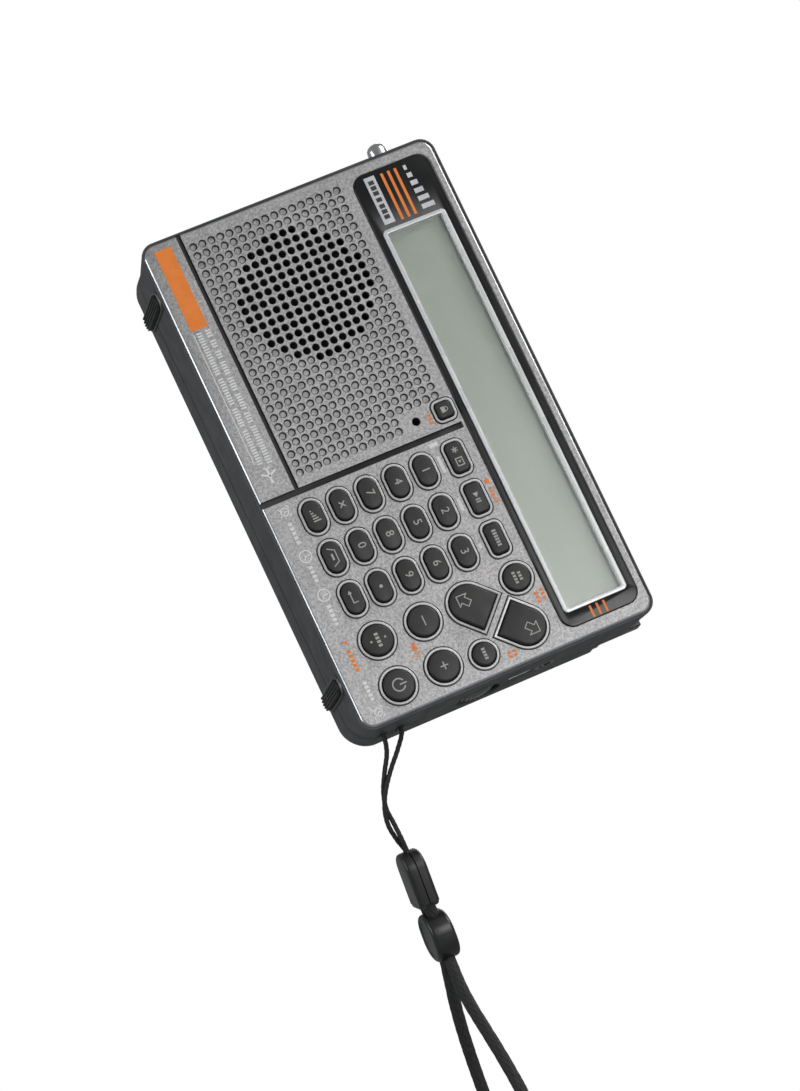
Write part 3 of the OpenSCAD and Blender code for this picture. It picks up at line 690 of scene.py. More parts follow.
def strap_clip():
    """A flat moulded clip, rounded at the string's end, with a parting line round its side."""
    half = Vector(CLIP_SIZE) / 2
    piece = fresh_block(-half, half)
    soften(piece, lambda a, b: a.x < 0 and b.x < 0 and abs(a.z - b.z) > MM, 4.3, 8)
    soften(piece, lambda a, b: a.x > 6 * MM and b.x > 6 * MM and abs(a.z - b.z) > MM, 1.2, 4)
    soften(piece, lambda a, b: abs(a.z - b.z) < 0.1 * MM, 0.9, 4)
    waist = fresh_block((6.2, -6, -4), (9, -2.9, 4))
    mirror = fresh_block((6.2, 2.9, -4), (9, 6, 4))
    cut_out(cut_out(piece, waist), mirror)
    groove = fresh_block((-9, -6, -0.18), (9, 6, 0.18))
    middle = fresh_block((-6.9, -4.0, -1), (7.1, 4.0, 1))
    soften(middle, lambda a, b: a.x < 0 and b.x < 0 and abs(a.z - b.z) > MM, 3.9, 8)
    cut_out(groove, middle)
    cut_out(piece, groove)
    bevel_all(piece, 0.08, 1)
    place_on_strap(piece, CLIP_AT)
    return finish_piece(piece, "strap_clip_moulded", "receiver", "strap_moulding", STRAP,
                        replaced=["strap_clip"])


def strap_slider():
    """An oval slider with a raised rim line on both faces."""
    half = Vector(SLIDER_SIZE) / 2
    piece = fresh_block(-half, half)
    soften(piece, lambda a, b: abs(a.z - b.z) > MM, 5.3, 10)
    soften(piece, lambda a, b: abs(a.z - b.z) < 0.1 * MM, 1.0, 4)
    for side in (-1, 1):
        pick_faces(piece, lambda c, n, s=side: n.z * s > 0.99)
        bpy.ops.mesh.inset(thickness=0.5 * MM, depth=0)
        bpy.ops.mesh.inset(thickness=0.25 * MM, depth=-0.2 * MM)
        leave_edit()
    place_on_strap(piece, SLIDER_AT)
    return finish_piece(piece, "strap_slider_moulded", "receiver", "strap_moulding", STRAP,
                        replaced=["strap_slider"])


def make_strap():
    clip, slider = strap_clip(), strap_slider()
    string, string_line = braided_cord("strap_string_twisted", STRING_ROUTE, STRING_D, 14, 0.22, 3, 1.6, 0.12)
    finish_piece(string, "strap_string_twisted", "receiver", "strap_cord", CORD, replaced=["strap_string"],
                 angle=60)
    loop, loop_line = braided_cord("wrist_loop_braided", LOOP_ROUTE, LOOP_D, 32, 0.3, 8, 6.4, 0.13)
    finish_piece(loop, "wrist_loop_braided", "receiver", "strap_cord", CORD, replaced=["wrist_loop"],
                 angle=60)


set_camera()
set_light()
set_floor()
make_strap()


# ---- front of the case ----


def in_box(place, low, high, slack=0.06):
    return all(l - slack < p < h + slack for p, l, h in zip(place, low, high))


def paint_faces(piece, tests):
    """Gives each face the number of the last test that it passes, from 1 on."""
    for face in piece.data.polygons:
        across, up, depth = panel_place(face.center)
        for number, test in enumerate(tests, 1):
            if test(across, up, depth, face.normal):
                face.material_index = number


def in_groove(across, up, depth, normal):
    if 0.75 < depth < 0.85:
        return True
    between = in_box((across, up), (72, -1), (73.5, 56.4)) or in_box((across, up), (-1, 9.8), (73.5, 11))
    return between and 0.001 < depth < 0.85 and abs(normal.y) < 0.98


def near_outline(across, up, within=1.1):
    """Whether a place is close to the panel's outline, its rounded corners included."""
    x = abs(across - PANEL_MIDDLE[0]) - (PANEL_MIDDLE[0] - PANEL_CORNER)
    z = abs(up - PANEL_MIDDLE[1]) - (PANEL_MIDDLE[1] - PANEL_CORNER)
    edge = math.hypot(x, z) if x > 0 and z > 0 else max(x, z)
    return edge > PANEL_CORNER - within


# The outline chamfer, which gets the painted highlight.
def on_panel_edge(across, up, depth, normal):
    return near_outline(across, up, 0.6) and 0.0005 < depth < 0.7 and -0.999 < normal.y < -0.05


# The ring grooves round the keys, which get painted shade.
def on_ring_groove(across, up, depth, normal):
    on_keys_side = across > 62 and not (across < 66 and up < 55) and not near_outline(across, up, 1.0)
    return on_keys_side and 0.001 < depth < 0.34 and up < 57.2


def on_collar(across, up, depth, normal):
    return depth < -0.03 and normal.y < 0.5


def dot_distance(across, up):
    """How far a place is from the middle of the nearest dot of the grille."""
    x, z = (across - DOT_FIRST[0]) / DOT_PITCH[0], (up - DOT_FIRST[1]) / DOT_PITCH[1]
    return math.hypot((x - round(x)) * DOT_PITCH[0], (z - round(z)) * DOT_PITCH[1])


# The dimples' walls and floor rims, which get painted shade.
def on_dot_wall(across, up, depth, normal):
    in_field = 3 < across < 69 and 11.2 < up < 55 and depth > 0.001
    return in_field and (abs(normal.y) < 0.98 or dot_distance(across, up) > 0.3)


def face_plate():
    piece = copy_of("face_plate")
    front = PANEL_FACE * MM

    def on_front(a, b):
        return abs(a.y - front) < 1e-5 and abs(b.y - front) < 1e-5

    def at_outline(a, b):
        return on_front(a, b) and near_outline(*panel_place(a)[:2]) and near_outline(*panel_place(b)[:2])

    def on_dot_floor(centre, normal):
        across, up, depth = panel_place(centre)
        return normal.y < -0.99 and 0.1 < depth < 0.7 and dot_distance(across, up) < 0.1

    soften(piece, at_outline, 0.5, 1)
    soften(piece, on_front, 0.14, 1, limited=False)
    soften(piece, lambda a, b: a.y < front - 0.3 * MM and b.y < front - 0.3 * MM, 0.14, 2, limited=False)
    pick_faces(piece, on_dot_floor)
    bpy.ops.mesh.inset(thickness=0.17 * MM, use_individual=True)
    leave_edit()
    # Slots: silver paint, the collars' paint, painted shade in the ring grooves and the dimples, the grooves'
    # black paint, and painted highlight on the outline chamfer.
    paint_faces(piece, [on_collar, on_ring_groove, on_dot_wall, in_groove, on_panel_edge])
    finish_piece(piece, "face_plate_body", "receiver", "silver_paint", PAINT, COLLAR, RING_GROOVE_SHADE, DOT_WALL_SHADE,
                 GROOVE, PAINT_EDGE_HIGHLIGHT,
                 replaced=["face_plate"], angle=20)


def display():
    finished_copy("display_bezel", 0.2, GLOSS, "gloss_black", 3)
    finished_copy("lcd_frame", 0.22, TRIM, "silver_trim", 3)


def case_form(grow=0.03, sides=56):
    """A closed form round the whole case, whose corners open from the panel towards the seam and the back."""
    depths = [-2, 0.3, 2, 4, 6, 8, 10, 12, 14.4, 22, 23.5, 25, 26.5, 27.5, 28.4, 29.1, 29.6, 30.2, 32]
    pick_nothing()
    bpy.ops.mesh.primitive_circle_add(vertices=sides, radius=0.01, fill_type="NGON",
                                      rotation=(STAND_UP, 0, 0))
    piece = bpy.context.object
    settle()
    edit_all(piece)
    for _ in depths[1:]:
        bpy.ops.mesh.extrude_region_move(TRANSFORM_OT_translate={"value": (0, MM, 0)})
    leave_edit()
    half = [side + grow for side in CASE_HALF]
    for vertex in piece.data.vertices:
        depth = depths[round(vertex.co.y / MM)]
        inward = BACK_ROUND - math.sqrt(max(0, BACK_ROUND ** 2 - max(0, min(depth - 22, BACK_ROUND)) ** 2))
        share = min(1, max(0, (depth - 0.3) / 14.0))
        radius = FRONT_CORNER + (BACK_CORNER - FRONT_CORNER) * share - 0.35 * inward + min(0, grow)
        steps = round(math.atan2(vertex.co.z, vertex.co.x) / (2 * math.pi) * sides) % sides
        quarter, step = divmod(steps, sides // 4)
        turn = quarter * math.pi / 2 + step / (sides // 4 - 1) * math.pi / 2
        right, top = (1 if quarter in (0, 3) else -1), (1 if quarter in (0, 1) else -1)
        vertex.co.x = (CASE_MIDDLE[0] + right * (half[0] - inward - radius) + radius * math.cos(turn)) * MM
        vertex.co.z = (CASE_MIDDLE[1] + top * (half[1] - inward - radius) + radius * math.sin(turn)) * MM
        vertex.co.y = (PANEL_FACE + depth) * MM
    turn_outwards(piece)
    return piece


def round_port(piece, radius):
    """Rounds the long edges of the charging port, or of its opening in the case."""
    def along_port(a, b):
        across, up, depth = panel_place((a + b) / 2)
        near = across > 125 and abs(up - PORT_UP) < 4.2 and abs(depth - PORT_DEPTH) < 1.8
        return near and abs(a.x - b.x) > 0.9 * (b - a).length and (b - a).length > MM

    soften(piece, along_port, radius, 5)


def shell(node):
    """One of the two case shells, with its corners opened towards the back."""
    piece = copy_of(node)
    cut_out(piece, case_form(), "INTERSECT")
    round_port(piece, 1.45)
    plane = PANEL_FACE * MM
    soften(piece, lambda a, b: abs(a.y - plane) < 2e-5 and abs(b.y - plane) < 2e-5
           and near_outline(*panel_place(a)[:2], 0.3) and near_outline(*panel_place(b)[:2], 0.3), 0.15, 1,
           limited=False)
    bevel_all(piece, 0.22, 2)
    finish_piece(piece, node + "_body", "receiver", "case_plastic", CASE, replaced=[node], angle=20)


def seam_line():
    """The gap between the two shells, as a thin near-black inlay round the case: painted shade where the gap
    is.
    """
    x, z = CASE_MIDDLE
    line = fresh_block((x - 80, PANEL_FACE + SEAM_FROM, z - 60), (x + 80, PANEL_FACE + SEAM_TO, z + 60))
    cut_out(line, case_form(0.07), "INTERSECT")
    cut_out(line, case_form(-0.6))
    scoop = fresh_rod((CASE_RIGHT, PANEL_FACE + SCOOP_DEPTH, PANEL_LOW + SCOOP_UP), 6.2, 6, "X", 64)
    cut_out(line, scoop)
    finish_piece(line, "seam_line", "receiver", "black_moulding", GROOVE, angle=20)


# ---- printed marks ----


def flat_bar(across, up, depth, width, height, turn=0.0):
    """A thin printed bar, turned by degrees within the panel."""
    pick_nothing()
    bpy.ops.mesh.primitive_plane_add(size=1, location=on_panel(across, up, depth),
                                     rotation=(STAND_UP, -math.radians(turn), 0))
    bpy.context.object.scale = (width * MM, height * MM, 1)
    settle()
    return bpy.context.object


def flat_disc(across, up, depth, radius, sides=24, turn=0.0):
    """A printed disc, or with three sides a triangle that points up before it is turned."""
    pick_nothing()
    bpy.ops.mesh.primitive_circle_add(vertices=sides, radius=radius * MM, fill_type="NGON",
                                      location=on_panel(across, up, depth),
                                      rotation=(STAND_UP, -math.radians(turn), 0))
    settle()
    return bpy.context.object


def flat_ring(across, up, depth, radius, stroke, gap=0.0):
    """A printed ring, open at the top by a gap in degrees."""
    piece = flat_disc(across, up, depth, radius, 40)
    edit_all(piece)
    bpy.ops.mesh.inset(thickness=stroke * MM)
    bpy.ops.mesh.delete(type="FACE")
    leave_edit()
    if gap:
        middle = on_panel(across, up, depth)
        pick_faces(piece, lambda c, n: abs(math.degrees(math.atan2(c.x - middle.x,
                                                                   c.z - middle.z))) < gap / 2)
        bpy.ops.mesh.delete(type="FACE")
        leave_edit()
    return piece


def flat_line(places, depth, stroke, closed=False):
    """Printed strokes from place to place."""
    ends = list(zip(places, places[1:] + places[:1])) if closed else list(zip(places, places[1:]))
    bars = []
    for (a, b), (c, d) in ends:
        length = math.hypot(c - a, d - b)
        bars.append(flat_bar((a + c) / 2, (b + d) / 2, depth, length + stroke * 0.9, stroke,
                             math.degrees(math.atan2(d - b, c - a))))
    return bars


def flat_digit(digit, across, up, depth, height):
    """A printed digit, made a mesh before it is put in its place."""
    pick_nothing()
    bpy.ops.object.text_add()
    text = bpy.context.object
    text.data.body = digit
    text.data.size = height * MM
    text.data.align_x = "CENTER"
    text.data.align_y = "CENTER"
    text.data.resolution_u = 6
    bpy.ops.object.convert(target="MESH")
    piece = bpy.context.object
    xs, ys = [v.co.x for v in piece.data.vertices], [v.co.y for v in piece.data.vertices]
    grow = height * MM / (max(ys) - min(ys))
    middle = Vector(((min(xs) + max(xs)) / 2, 0, (min(ys) + max(ys)) / 2)) * grow
    piece.scale = (grow, grow, 1)
    piece.rotation_euler = (STAND_UP, 0, 0)
    piece.location = on_panel(across, up, depth) - middle
    settle()
    return piece


def plain_words(across, up, depth, lengths, height, letter=0.95, gap=0.42, space=0.9):
    """Rows of plain blocks that stand in for printed words."""
    marks = []
    for count in lengths:
        for _ in range(count):
            marks.append(flat_bar(across + letter / 2, up, depth, letter, height))
            across += letter + gap
        across += space
    return marks


def print_marks(marks, name, body, slot, finish, thick=0.02):
    """Joins the marks of one print and gives them the thickness of ink."""
    for layer, mark in enumerate(marks):
        mark.location.y -= 0.004 * MM * (layer % 4)
        only(mark)
        settle()
    piece = join(marks)
    edit_all(piece)
    bpy.ops.mesh.remove_doubles(threshold=1e-6)
    leave_edit()
    ink = piece.modifiers.new("ink", "SOLIDIFY")
    ink.thickness = thick * MM
    ink.offset = 1.0
    bpy.ops.object.modifier_apply(modifier="ink")
    return finish_piece(piece, name, body, slot, finish)


def clock_mark(across, up, depth, radius=1.5):
    marks = [flat_ring(across, up, depth, radius, 0.3)]
    return marks + flat_line([(across, up + 0.85 * radius * 0.7), (across, up),
                              (across + 0.5 * radius, up - 0.3 * radius)], depth, 0.26)


def alarm_mark(across, up, depth):
    marks = clock_mark(across, up, depth, 1.15)
    marks += [flat_bar(across - 1.15, up + 1.2, depth, 0.9, 0.42, 45),
              flat_bar(across + 1.15, up + 1.2, depth, 0.9, 0.42, -45)]
    return marks + [flat_bar(across - 0.95, up - 1.25, depth, 0.7, 0.26, 45),
                    flat_bar(across + 0.95, up - 1.25, depth, 0.7, 0.26, -45)]


def plane_mark(across, up, depth):
    """A plain aeroplane that points to the right."""
    marks = [flat_bar(across, up, depth, 3.6, 0.55), flat_disc(across + 1.9, up, depth, 0.38, 20)]
    for side in (-1, 1):
        marks.append(flat_bar(across - 0.15, up + side * 0.95, depth, 2.2, 0.5, -side * 62))
        marks.append(flat_bar(across - 1.75, up + side * 0.45, depth, 1.0, 0.32, -side * 55))
    return marks


def speaker_mark(across, up, depth):
    marks = [flat_bar(across - 1.35, up, depth, 0.75, 0.95), flat_disc(across - 0.3, up, depth, 1.1, 3, 90)]
    return marks + flat_line([(across + 0.95, up - 0.7), (across + 1.2, up), (across + 0.95, up + 0.7)],
                             depth, 0.2) \
        + flat_line([(across + 1.6, up - 1.0), (across + 1.95, up), (across + 1.6, up + 1.0)], depth, 0.2)


def digit_marks(digit, across, up, depth):
    return [flat_digit(digit, across, up + 0.15, depth, 2.15)]


def arrow_marks(across, up, depth, turn):
    """The outline of a block arrow, turned by degrees from pointing up."""
    outline = [(0, 2.15), (1.95, 0.2), (0.85, 0.2), (0.85, -1.7), (-0.85, -1.7), (-0.85, 0.2), (-1.95, 0.2)]
    c, s = math.cos(math.radians(turn)), math.sin(math.radians(turn))
    places = [(across + x * c + y * s, up - x * s + y * c) for x, y in outline]
    return flat_line(places, depth, 0.24, closed=True)


def power_marks(across, up, depth):
    return [flat_ring(across, up - 0.1, depth, 1.75, 0.34, 62), flat_bar(across, up + 1.05, depth, 0.34, 1.9)]


def play_marks(across, up, depth):
    return [flat_disc(across - 0.85, up, depth, 0.85, 3, -90), flat_bar(across + 0.55, up, depth, 0.34, 1.3),
            flat_bar(across + 1.2, up, depth, 0.34, 1.3)]


def light_marks(across, up, depth):
    marks = [flat_bar(across - 1.9, up, depth, 1.7, 0.26, turn) for turn in (0, 60, 120)]
    corners = [(across + 0.35, up - 0.85), (across + 2.35, up - 0.85), (across + 2.35, up + 0.85),
               (across + 0.35, up + 0.85)]
    return marks + flat_line(corners, depth, 0.26, closed=True) + [flat_disc(across + 1.25, up, depth, 0.5,
                                                                             3, -90)]


def lock_marks(across, up, depth):
    ring = flat_ring(across, up + 0.3, depth, 0.6, 0.2)
    return [flat_bar(across, up - 0.45, depth, 1.5, 1.05), ring]


def enter_marks(across, up, depth):
    return flat_line([(across + 1.3, up + 0.8), (across + 1.3, up - 0.4), (across - 1.1, up - 0.4)], depth,
                     0.26) \
        + [flat_disc(across - 1.45, up - 0.4, depth, 0.62, 3, 90)]


def delete_marks(across, up, depth):
    return [flat_bar(across, up, depth, 2.1, 0.3, 45), flat_bar(across, up, depth, 2.1, 0.3, -45)]


def squelch_marks(across, up, depth):
    return [flat_bar(across - 1.4 + 0.7 * i, up - 0.8 + 0.2 * (i + 1), depth, 0.34,
                     0.4 * (i + 1)) for i in range(5)]


def bandwidth_marks(across, up, depth):
    return flat_line([(across - 2.4, up - 0.8), (across - 1.5, up + 0.8), (across + 1.5, up + 0.8),
                      (across + 2.4, up - 0.8)], depth, 0.26) \
        + [flat_bar(across, up - 0.3, depth, 1.7, 0.5)]


def preset_marks(across, up, depth):
    return plain_words(across - 2.25, up, depth, [6], 1.1, 0.52, 0.26)


def sub_band_marks(across, up, depth):
    return plain_words(across - 1.15, up + 0.75, depth, [3], 0.8, 0.55, 0.3) + plain_words(across - 1.55,
                                                                                           up - 0.65, depth,
                                                                                           [4], 0.8, 0.55,
                                                                                           0.3)


def mode_marks(across, up, depth):
    return plain_words(across - 1.5, up, depth, [4], 0.9, 0.55, 0.28)


def band_marks(across, up, depth):
    return plain_words(across - 1.75, up, depth, [4], 1.0, 0.65, 0.35) + [
        flat_disc(across, up + 1.95, depth, 0.3, 16), flat_disc(across, up - 1.85, depth, 0.3, 16)]


def minus_marks(across, up, depth):
    return [flat_bar(across, up, depth, 2.6, 0.3)]


def plus_marks(across, up, depth):
    return [flat_bar(across, up, depth, 2.1, 0.3), flat_bar(across, up, depth, 0.3, 2.1)]


def point_marks(across, up, depth):
    return [flat_disc(across, up, depth, 0.45, 20)]


# ---- keys ----

COLUMNS, ROWS = (80.25, 91.7, 103.15), (51.3, 42.25, 34.45, 26.7, 18.95, 11.25)
KEY_TOP = -1.2
PRESSED_RIM = 0.45
KEYS = {
    "key_lock": (67.7, 53.6, lock_marks), "key_light": (COLUMNS[0], ROWS[0], light_marks),
    "key_play": (COLUMNS[1], ROWS[0], play_marks), "key_preset": (COLUMNS[2], ROWS[0], preset_marks),
    "key_delete": (COLUMNS[0], ROWS[4], delete_marks), "key_point": (COLUMNS[2], ROWS[4], point_marks),
    "key_squelch": (COLUMNS[0], ROWS[5], squelch_marks), "key_bandwidth": (COLUMNS[1], ROWS[5],
                                                                           bandwidth_marks),
    "key_enter": (COLUMNS[2], ROWS[5], enter_marks), "key_sub_band": (114.3, 51.8, sub_band_marks),
    "key_mode": (128.9, 35.6, mode_marks), "key_minus": (115.3, 25.1, minus_marks),
    "key_plus": (127.7, 24.9, plus_marks), "key_band": (115.2, 12.4, band_marks),
    "key_power": (127.7, 12.4, power_marks),
    "key_arrow_up": (127.6, 49.6, lambda u, v, d: arrow_marks(u, v, d, 45)),
    "key_arrow_down": (114.6, 36.6, lambda u, v, d: arrow_marks(u, v, d, 225)),
}
for _number in range(1, 10):
    KEYS["key_%d" % _number] = (COLUMNS[(_number - 1) % 3], ROWS[1 + (_number - 1) // 3],
                                lambda u, v, d, n=_number: digit_marks(str(n), u, v, d))
KEYS["key_0"] = (COLUMNS[1], ROWS[4], lambda u, v, d: digit_marks("0", u, v, d))


def key_caps():
    """Each key is rounded over at its top, and its print rides with it."""
    top = (PANEL_FACE + KEY_TOP) * MM
    for node, (across, up, marks) in KEYS.items():
        piece = copy_of(node)
        soften(piece, lambda a, b: abs(a.y - top) < 1e-5 and abs(b.y - top) < 1e-5, PRESSED_RIM, 4)
        finish_piece(piece, node + "_cap", node, "key_rubber", KEY, replaced=[node], angle=40)
        print_marks(marks(across, up, KEY_TOP - 0.005), node + "_print", node, "key_rubber", LEGEND)


def panel_prints():
    """The prints on the panel and on the display's surround."""
    face, bezel = -0.005, -0.305
    pale = plain_words(25.6, 7.0, face, [3, 3, 3, 5, 5, 6, 4, 14], 1.45, 0.42, 0.34, 0.75)
    pale += plain_words(25.6, 4.6, face, [16, 10, 7, 13], 1.35, 0.42, 0.34, 0.85)
    pale += [flat_bar(43.9, 3.15, face, 36.7, 0.22)]
    pale += plane_mark(66.0, 5.5, face)
    pale += alarm_mark(76.3, 5.0, face) + plain_words(79.3, 4.9, face, [5], 1.05, 0.85, 0.4)
    pale += clock_mark(88.7, 5.0, face, 1.7) + plain_words(91.4, 4.9, face, [4], 1.05, 0.8, 0.4)
    pale += clock_mark(99.5, 5.0, face, 1.7) + plain_words(102.2, 4.9, face, [5], 1.05, 0.8, 0.4)
    pale += plain_words(123.4, 4.9, face, [5], 1.0, 0.75, 0.35) + alarm_mark(131.8, 4.9, face)
    pale += [flat_bar(80.3, 46.9, face, 4.6, 0.9), flat_bar(91.6, 46.9, face, 3.4, 0.9),
             flat_bar(103.2, 46.9, face, 1.3, 0.9),
             flat_bar(74.9, 47.2, face, 1.0, 2.2)]
    print_marks(pale, "panel_print_pale", "receiver", "silver_paint", PALE_PRINT)
    orange = [flat_bar(13.4, 5.3, face, 22.6, 4.6)]
    orange += [flat_disc(88.6, 55.7, face, 0.75, 6)] + plain_words(90.3, 55.8, face, [5], 0.85, 0.6, 0.35)
    orange += plain_words(119.0, 56.2, face, [3], 0.9, 0.7, 0.4) + plain_words(119.4, 54.6, face, [3], 0.9,
                                                                               0.7, 0.4)
    orange += plain_words(130.6, 43.1, face, [2], 0.9, 0.7, 0.4) + plain_words(130.6, 41.7, face, [2], 0.9,
                                                                               0.7, 0.4)
    orange += plain_words(67.1, 49.4, face, [3], 1.0, 0.7, 0.35) + speaker_mark(120.9, 20.2, face)
    orange += [flat_bar(112.4, 4.6, face, 0.45, 1.3), flat_bar(112.75, 5.1, face, 0.7, 0.32)]
    orange += plain_words(114.6, 4.6, face, [5], 1.05, 0.85, 0.4)
    print_marks(orange, "panel_print_orange", "receiver", "silver_paint", ORANGE_PRINT)
    stripes = [flat_bar(11.2, up, bezel, 13.2, 0.75) for up in (69.5, 67.6, 65.7)]
    stripes += [flat_bar(129.55, up, bezel, 3.1, 0.6) for up in (69.5, 67.6, 65.7)]
    print_marks(stripes, "bezel_print_orange", "receiver", "gloss_black", ORANGE_PRINT)
    silver = [flat_bar(10.95, 62.2, bezel, 13.3, 3.0)]
    silver += [flat_bar(5.4 + 2.25 * i, 71.7 + (0.8 + 0.55 * i) / 2, bezel, 1.3,
                        0.8 + 0.55 * i) for i in range(6)]
    print_marks(silver, "bezel_print_silver", "receiver", "gloss_black", SILVER_PRINT)
    dark = plain_words(5.4, 62.2, bezel - 0.02, [3, 1, 3], 1.5, 1.15, 0.35, 0.35)
    print_marks(dark, "bezel_plate_print", "receiver", "gloss_black", GROOVE, 0.012)


# ---- feet, sockets, dial and screws ----


def rubber_feet():
    """Two rubber strips with ribs along them, each in a raised moulded surround."""
    strips, rims = [], []
    for across in (13.5, 121.5):
        x, y0, y1 = PANEL_LEFT + across, PANEL_FACE + 0.8, PANEL_FACE + 21.5
        core = fresh_block((x - 2.0, y0 + 0.4, 0.35), (x + 2.0, y1 - 0.3, 1.5))
        soften(core, lambda a, b: abs(a.z - b.z) > 0.5 * MM, 1.9, 8)
        strips.append(core)
        for i in range(5):
            rib_x, inset = x - 1.6 + 0.8 * i, (0.9, 0.25, 0.0, 0.25, 0.9)[i]
            rib = fresh_block((rib_x - 0.26, y0 + 0.6 + inset, 0.0), (rib_x + 0.26, y1 - 0.4 - inset, 0.7))
            soften(rib, lambda a, b: a.z < 0.1 * MM and b.z < 0.1 * MM, 0.18, 3)
            strips.append(rib)
        rim = fresh_block((x - 2.75, y0 - 0.25, 0.75), (x + 2.75, y1 + 0.1, 1.6))
        soften(rim, lambda a, b: abs(a.z - b.z) > 0.5 * MM, 2.65, 10)
        pick_faces(rim, lambda c, n: n.z < -0.9)
        bpy.ops.mesh.inset(thickness=0.55 * MM)
        bpy.ops.transform.translate(value=(0, 0, 0.6 * MM))
        leave_edit()
        bevel_all(rim, 0.2, 3)
        rims.append(rim)
    finish_piece(join(strips), "rubber_feet_ribbed", "receiver", "foot_rubber", RUBBER,
                 replaced=["rubber_feet"])
    # The surrounds take the lighter copy of the case plastic, a painted highlight.
    finish_piece(join(rims), "foot_surrounds", "receiver", "case_plastic", CASE_HIGHLIGHT_COPY)


def tuning_wheel():
    """A knurled dial with a dished face."""
    low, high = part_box("tuning_wheel")
    centre = (low + high) / 2 / MM
    radius, thick = (high.x - low.x) / 2 / MM, (high.y - low.y) / MM
    teeth = 64
    wheel = fresh_rod(centre, radius, thick, "Y", teeth * 4)
    middle = centre * MM

    def in_tooth_gap(point):
        turn = math.atan2(point.x - middle.x, point.z - middle.z) / (2 * math.pi) * teeth % 1
        return turn < 0.2 or turn > 0.95

    pick_edges(wheel, lambda a, b: abs(a.y - b.y) > MM and in_tooth_gap(a))
    bpy.ops.transform.resize(value=(0.955, 1, 0.955), center_override=middle)
    leave_edit()
    for side in (-1, 1):
        dish = fresh_rod(centre + Vector((0, side * (thick / 2 + 0.6), 0)), radius - 2.2, 2.0, "Y", 96)
        cut_out(wheel, dish)
    bore = fresh_rod(centre, 1.6, thick * 2, "Y", 32)
    cut_out(wheel, bore)
    bevel_all(wheel, 0.12, 1)
    finish_piece(wheel, "tuning_wheel_knurled", "tuning_wheel", "wheel_plastic", WHEEL,
                 replaced=["tuning_wheel"], angle=25)


def side_sockets():
    """The earphone socket with its bright contact ring, and the charging port with its tongue."""
    finished_copy("headphone_jack", 0.15, BLACK, "black_moulding")
    x, y, z = CASE_RIGHT, PANEL_FACE + SOCKET_DEPTH, PANEL_LOW + SOCKET_UP
    ring = turned([(-2.2, 1.81), (-0.12, 1.81), (-0.02, 1.95), (-0.02, 2.25), (-0.12, 2.4), (-0.5, 2.4),
                   (-2.2, 2.4), (-2.2, 1.81)],
                  (x, y, z), "X")
    finish_piece(ring, "socket_ring", "receiver", "port_steel", STEEL)
    port = copy_of("usb_port")
    round_port(port, 1.1)
    bevel_all(port, 0.08, 1)
    finish_piece(port, "usb_port_body", "receiver", "port_steel", STEEL, replaced=["usb_port"], angle=25)
    y, z = PANEL_FACE + PORT_DEPTH, PANEL_LOW + PORT_UP
    tongue = fresh_block((x - 5.5, y - 0.3, z - 2.6), (x - 1.2, y + 0.3, z + 2.6))
    bevel_all(tongue, 0.12, 2)
    finish_piece(tongue, "port_tongue", "receiver", "black_moulding", BLACK)


def case_screws():
    """Domed screw heads with a cross recess, set deep in the back."""
    screws = []
    for across, up in ((5.2, 6), (126.5, 4.4), (5.2, 61.5), (73.2, 56.2)):
        x, z, head = PANEL_LEFT + across, PANEL_LOW + up, PANEL_FACE + 22
        screw = turned([(-13.2, 0), (-13.2, 0.5), (-12.8, 0.82), (0, 0.82), (0, 1.62), (0.25, 1.7),
                        (0.8, 1.6), (1.2, 1.15), (1.4, 0)],
                       (x, head, z), "Y", 32)
        for width, height in ((1.9, 0.42), (0.42, 1.9)):
            cross = fresh_block((x - width / 2, head + 0.7, z - height / 2),
                                (x + width / 2, head + 3, z + height / 2))
            cut_out(screw, cross)
        screws.append(screw)
    finish_piece(join(screws), "case_screws", "receiver", "screw_steel", SCREW, replaced=["screws"])


# ---- aerial ----

PIVOT_Z = PANEL_LOW + 74.8
ROD_Y = PANEL_FACE + 24.2
TUBE_D = (5.0, 4.2, 3.4, 2.6)
TUBE_ENDS = ((120, -1), (112, -1.4), (109, -1.8))


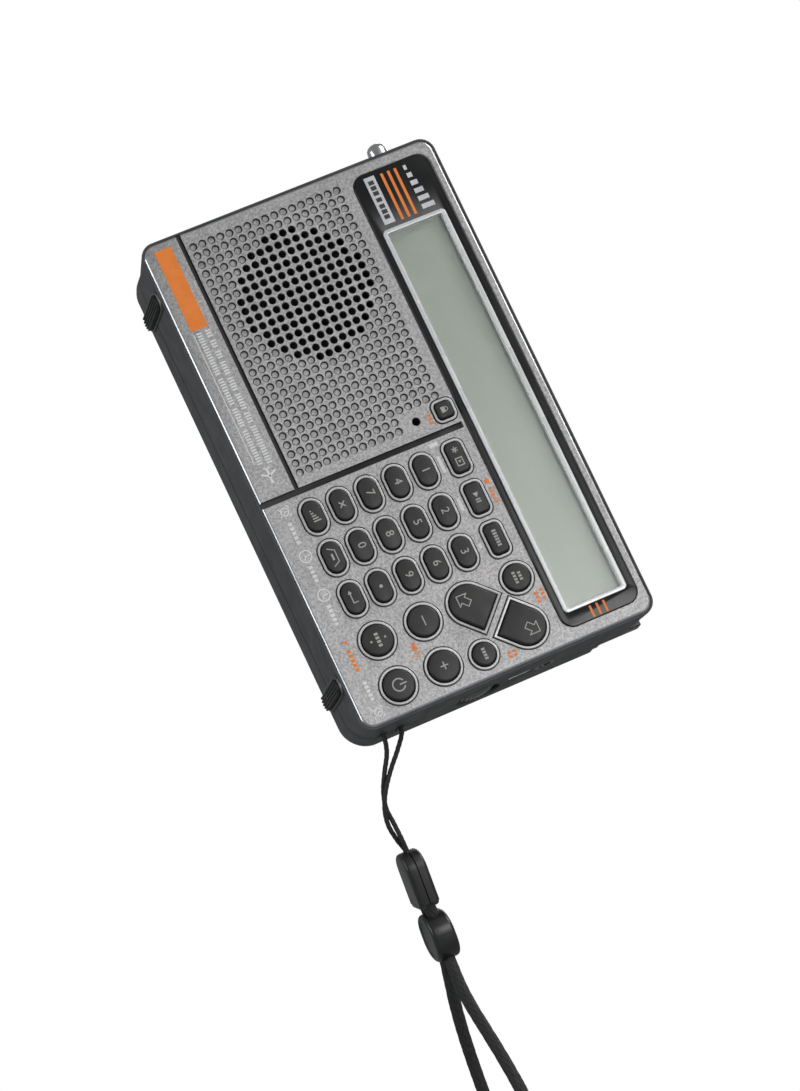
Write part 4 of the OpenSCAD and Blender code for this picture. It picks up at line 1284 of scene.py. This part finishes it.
def aerial():
    """Plated tubes with rolled lips, a turned tip, and the hinge that holds them."""
    finished_copy("antenna_bracket", 0.3, BLACK, "black_moulding")
    finished_copy("antenna_swivel", 0.2, BLACK, "black_moulding")
    for i, (start, stop) in enumerate(TUBE_ENDS[1:], 1):
        r, length = TUBE_D[i] / 2, start - stop
        bore = r - 0.35
        profile = [(0, bore), (0, r - 0.05), (0.1, r), (length - 1.3, r), (length - 1.2, r - 0.12),
                   (length - 0.9, r - 0.12),
                   (length - 0.8, r), (length - 0.2, r), (length - 0.05, r - 0.06), (length, r - 0.2),
                   (length, bore), (0, bore)]
        tube = turned([(-a, b) for a, b in profile], (PANEL_LEFT + start, ROD_Y, PIVOT_Z), "X")
        name = "antenna_tube_%d" % (i + 1)
        finish_piece(tube, name + "_plated", name, "aerial_chrome", CHROME, replaced=[name])
    finished_copy("antenna_tube_1", 0.12, CHROME, "aerial_chrome")
    r, start = TUBE_D[3] / 2, PANEL_LEFT - 3
    tip = [(108, 0), (108, r - 0.2), (107.8, r), (0.4, r)]
    cap = [(0.55, r), (0.5, 2.0), (0.35, 2.25), (0.1, 2.3), (-0.7, 2.3), (-0.8, 2.15), (-1.0, 2.15),
           (-1.3, 2.5),
           (-1.7, 2.65), (-4.9, 2.65), (-5.6, 2.5), (-6.2, 2.05), (-6.6, 1.4), (-6.8, 0.7), (-6.85, 0)]
    rod = turned(tip + cap, (start, ROD_Y, PIVOT_Z), "X")
    paint_faces(rod, [lambda across, up, depth, normal: across < -2.9])
    finish_piece(rod, "antenna_tube_4_plated", "antenna_tube_4", "aerial_chrome", CHROME, STEEL,
                 replaced=["antenna_tube_4"])


# ---- window and inner parts ----


def window():
    """The clear window: glass that lets the lights' shadow rays through."""
    piece = copy_of("display_lens")
    bevel_all(piece, 0.12, 2)
    glass = make_finish("clear_window", (0.96, 0.98, 0.97), (0.99, 1, 0.99), 0.3, scale=200, bump=0,
                        rough_spread=0.01, through=1.0)
    nodes, links = glass.node_tree.nodes, glass.node_tree.links
    surface = nodes["Principled BSDF"]
    surface.inputs["IOR"].default_value = 1.47
    path = nodes.new("ShaderNodeLightPath")
    clear = nodes.new("ShaderNodeBsdfTransparent")
    clear.inputs["Color"].default_value = (0.95, 0.97, 0.96, 1)
    mix_shaders(nodes, links, path.outputs["Is Shadow Ray"], surface.outputs["BSDF"],
                clear.outputs["BSDF"], nodes["Material Output"])
    finish_piece(piece, "display_window", "receiver", "clear_window", glass, replaced=["display_lens"],
                 angle=5)


def dress_inner_parts():
    for node, finish in {
        "lcd_module": DISPLAY, "keypad_mat": MAT, "main_board": BOARD, "speaker_frame": PRESSED,
        "speaker_cone": PAPER,
        "ferrite_rod": FERRITE, "ferrite_coil": COPPER, "battery_pack": BATTERY, "battery_contacts": GOLD,
        "wheel_encoder": STEEL,
    }.items():
        for place in frame["nodes"][node].material_slots:
            place.material = finish


face_plate()
display()
window()
shell("front_case")
shell("rear_cover")
seam_line()
finished_copy("battery_cover", 0.3, CASE, "case_plastic")
finished_copy("kickstand", 0.35, CASE, "case_plastic")
key_caps()
panel_prints()
rubber_feet()
tuning_wheel()
side_sockets()
case_screws()
aerial()
dress_inner_parts()
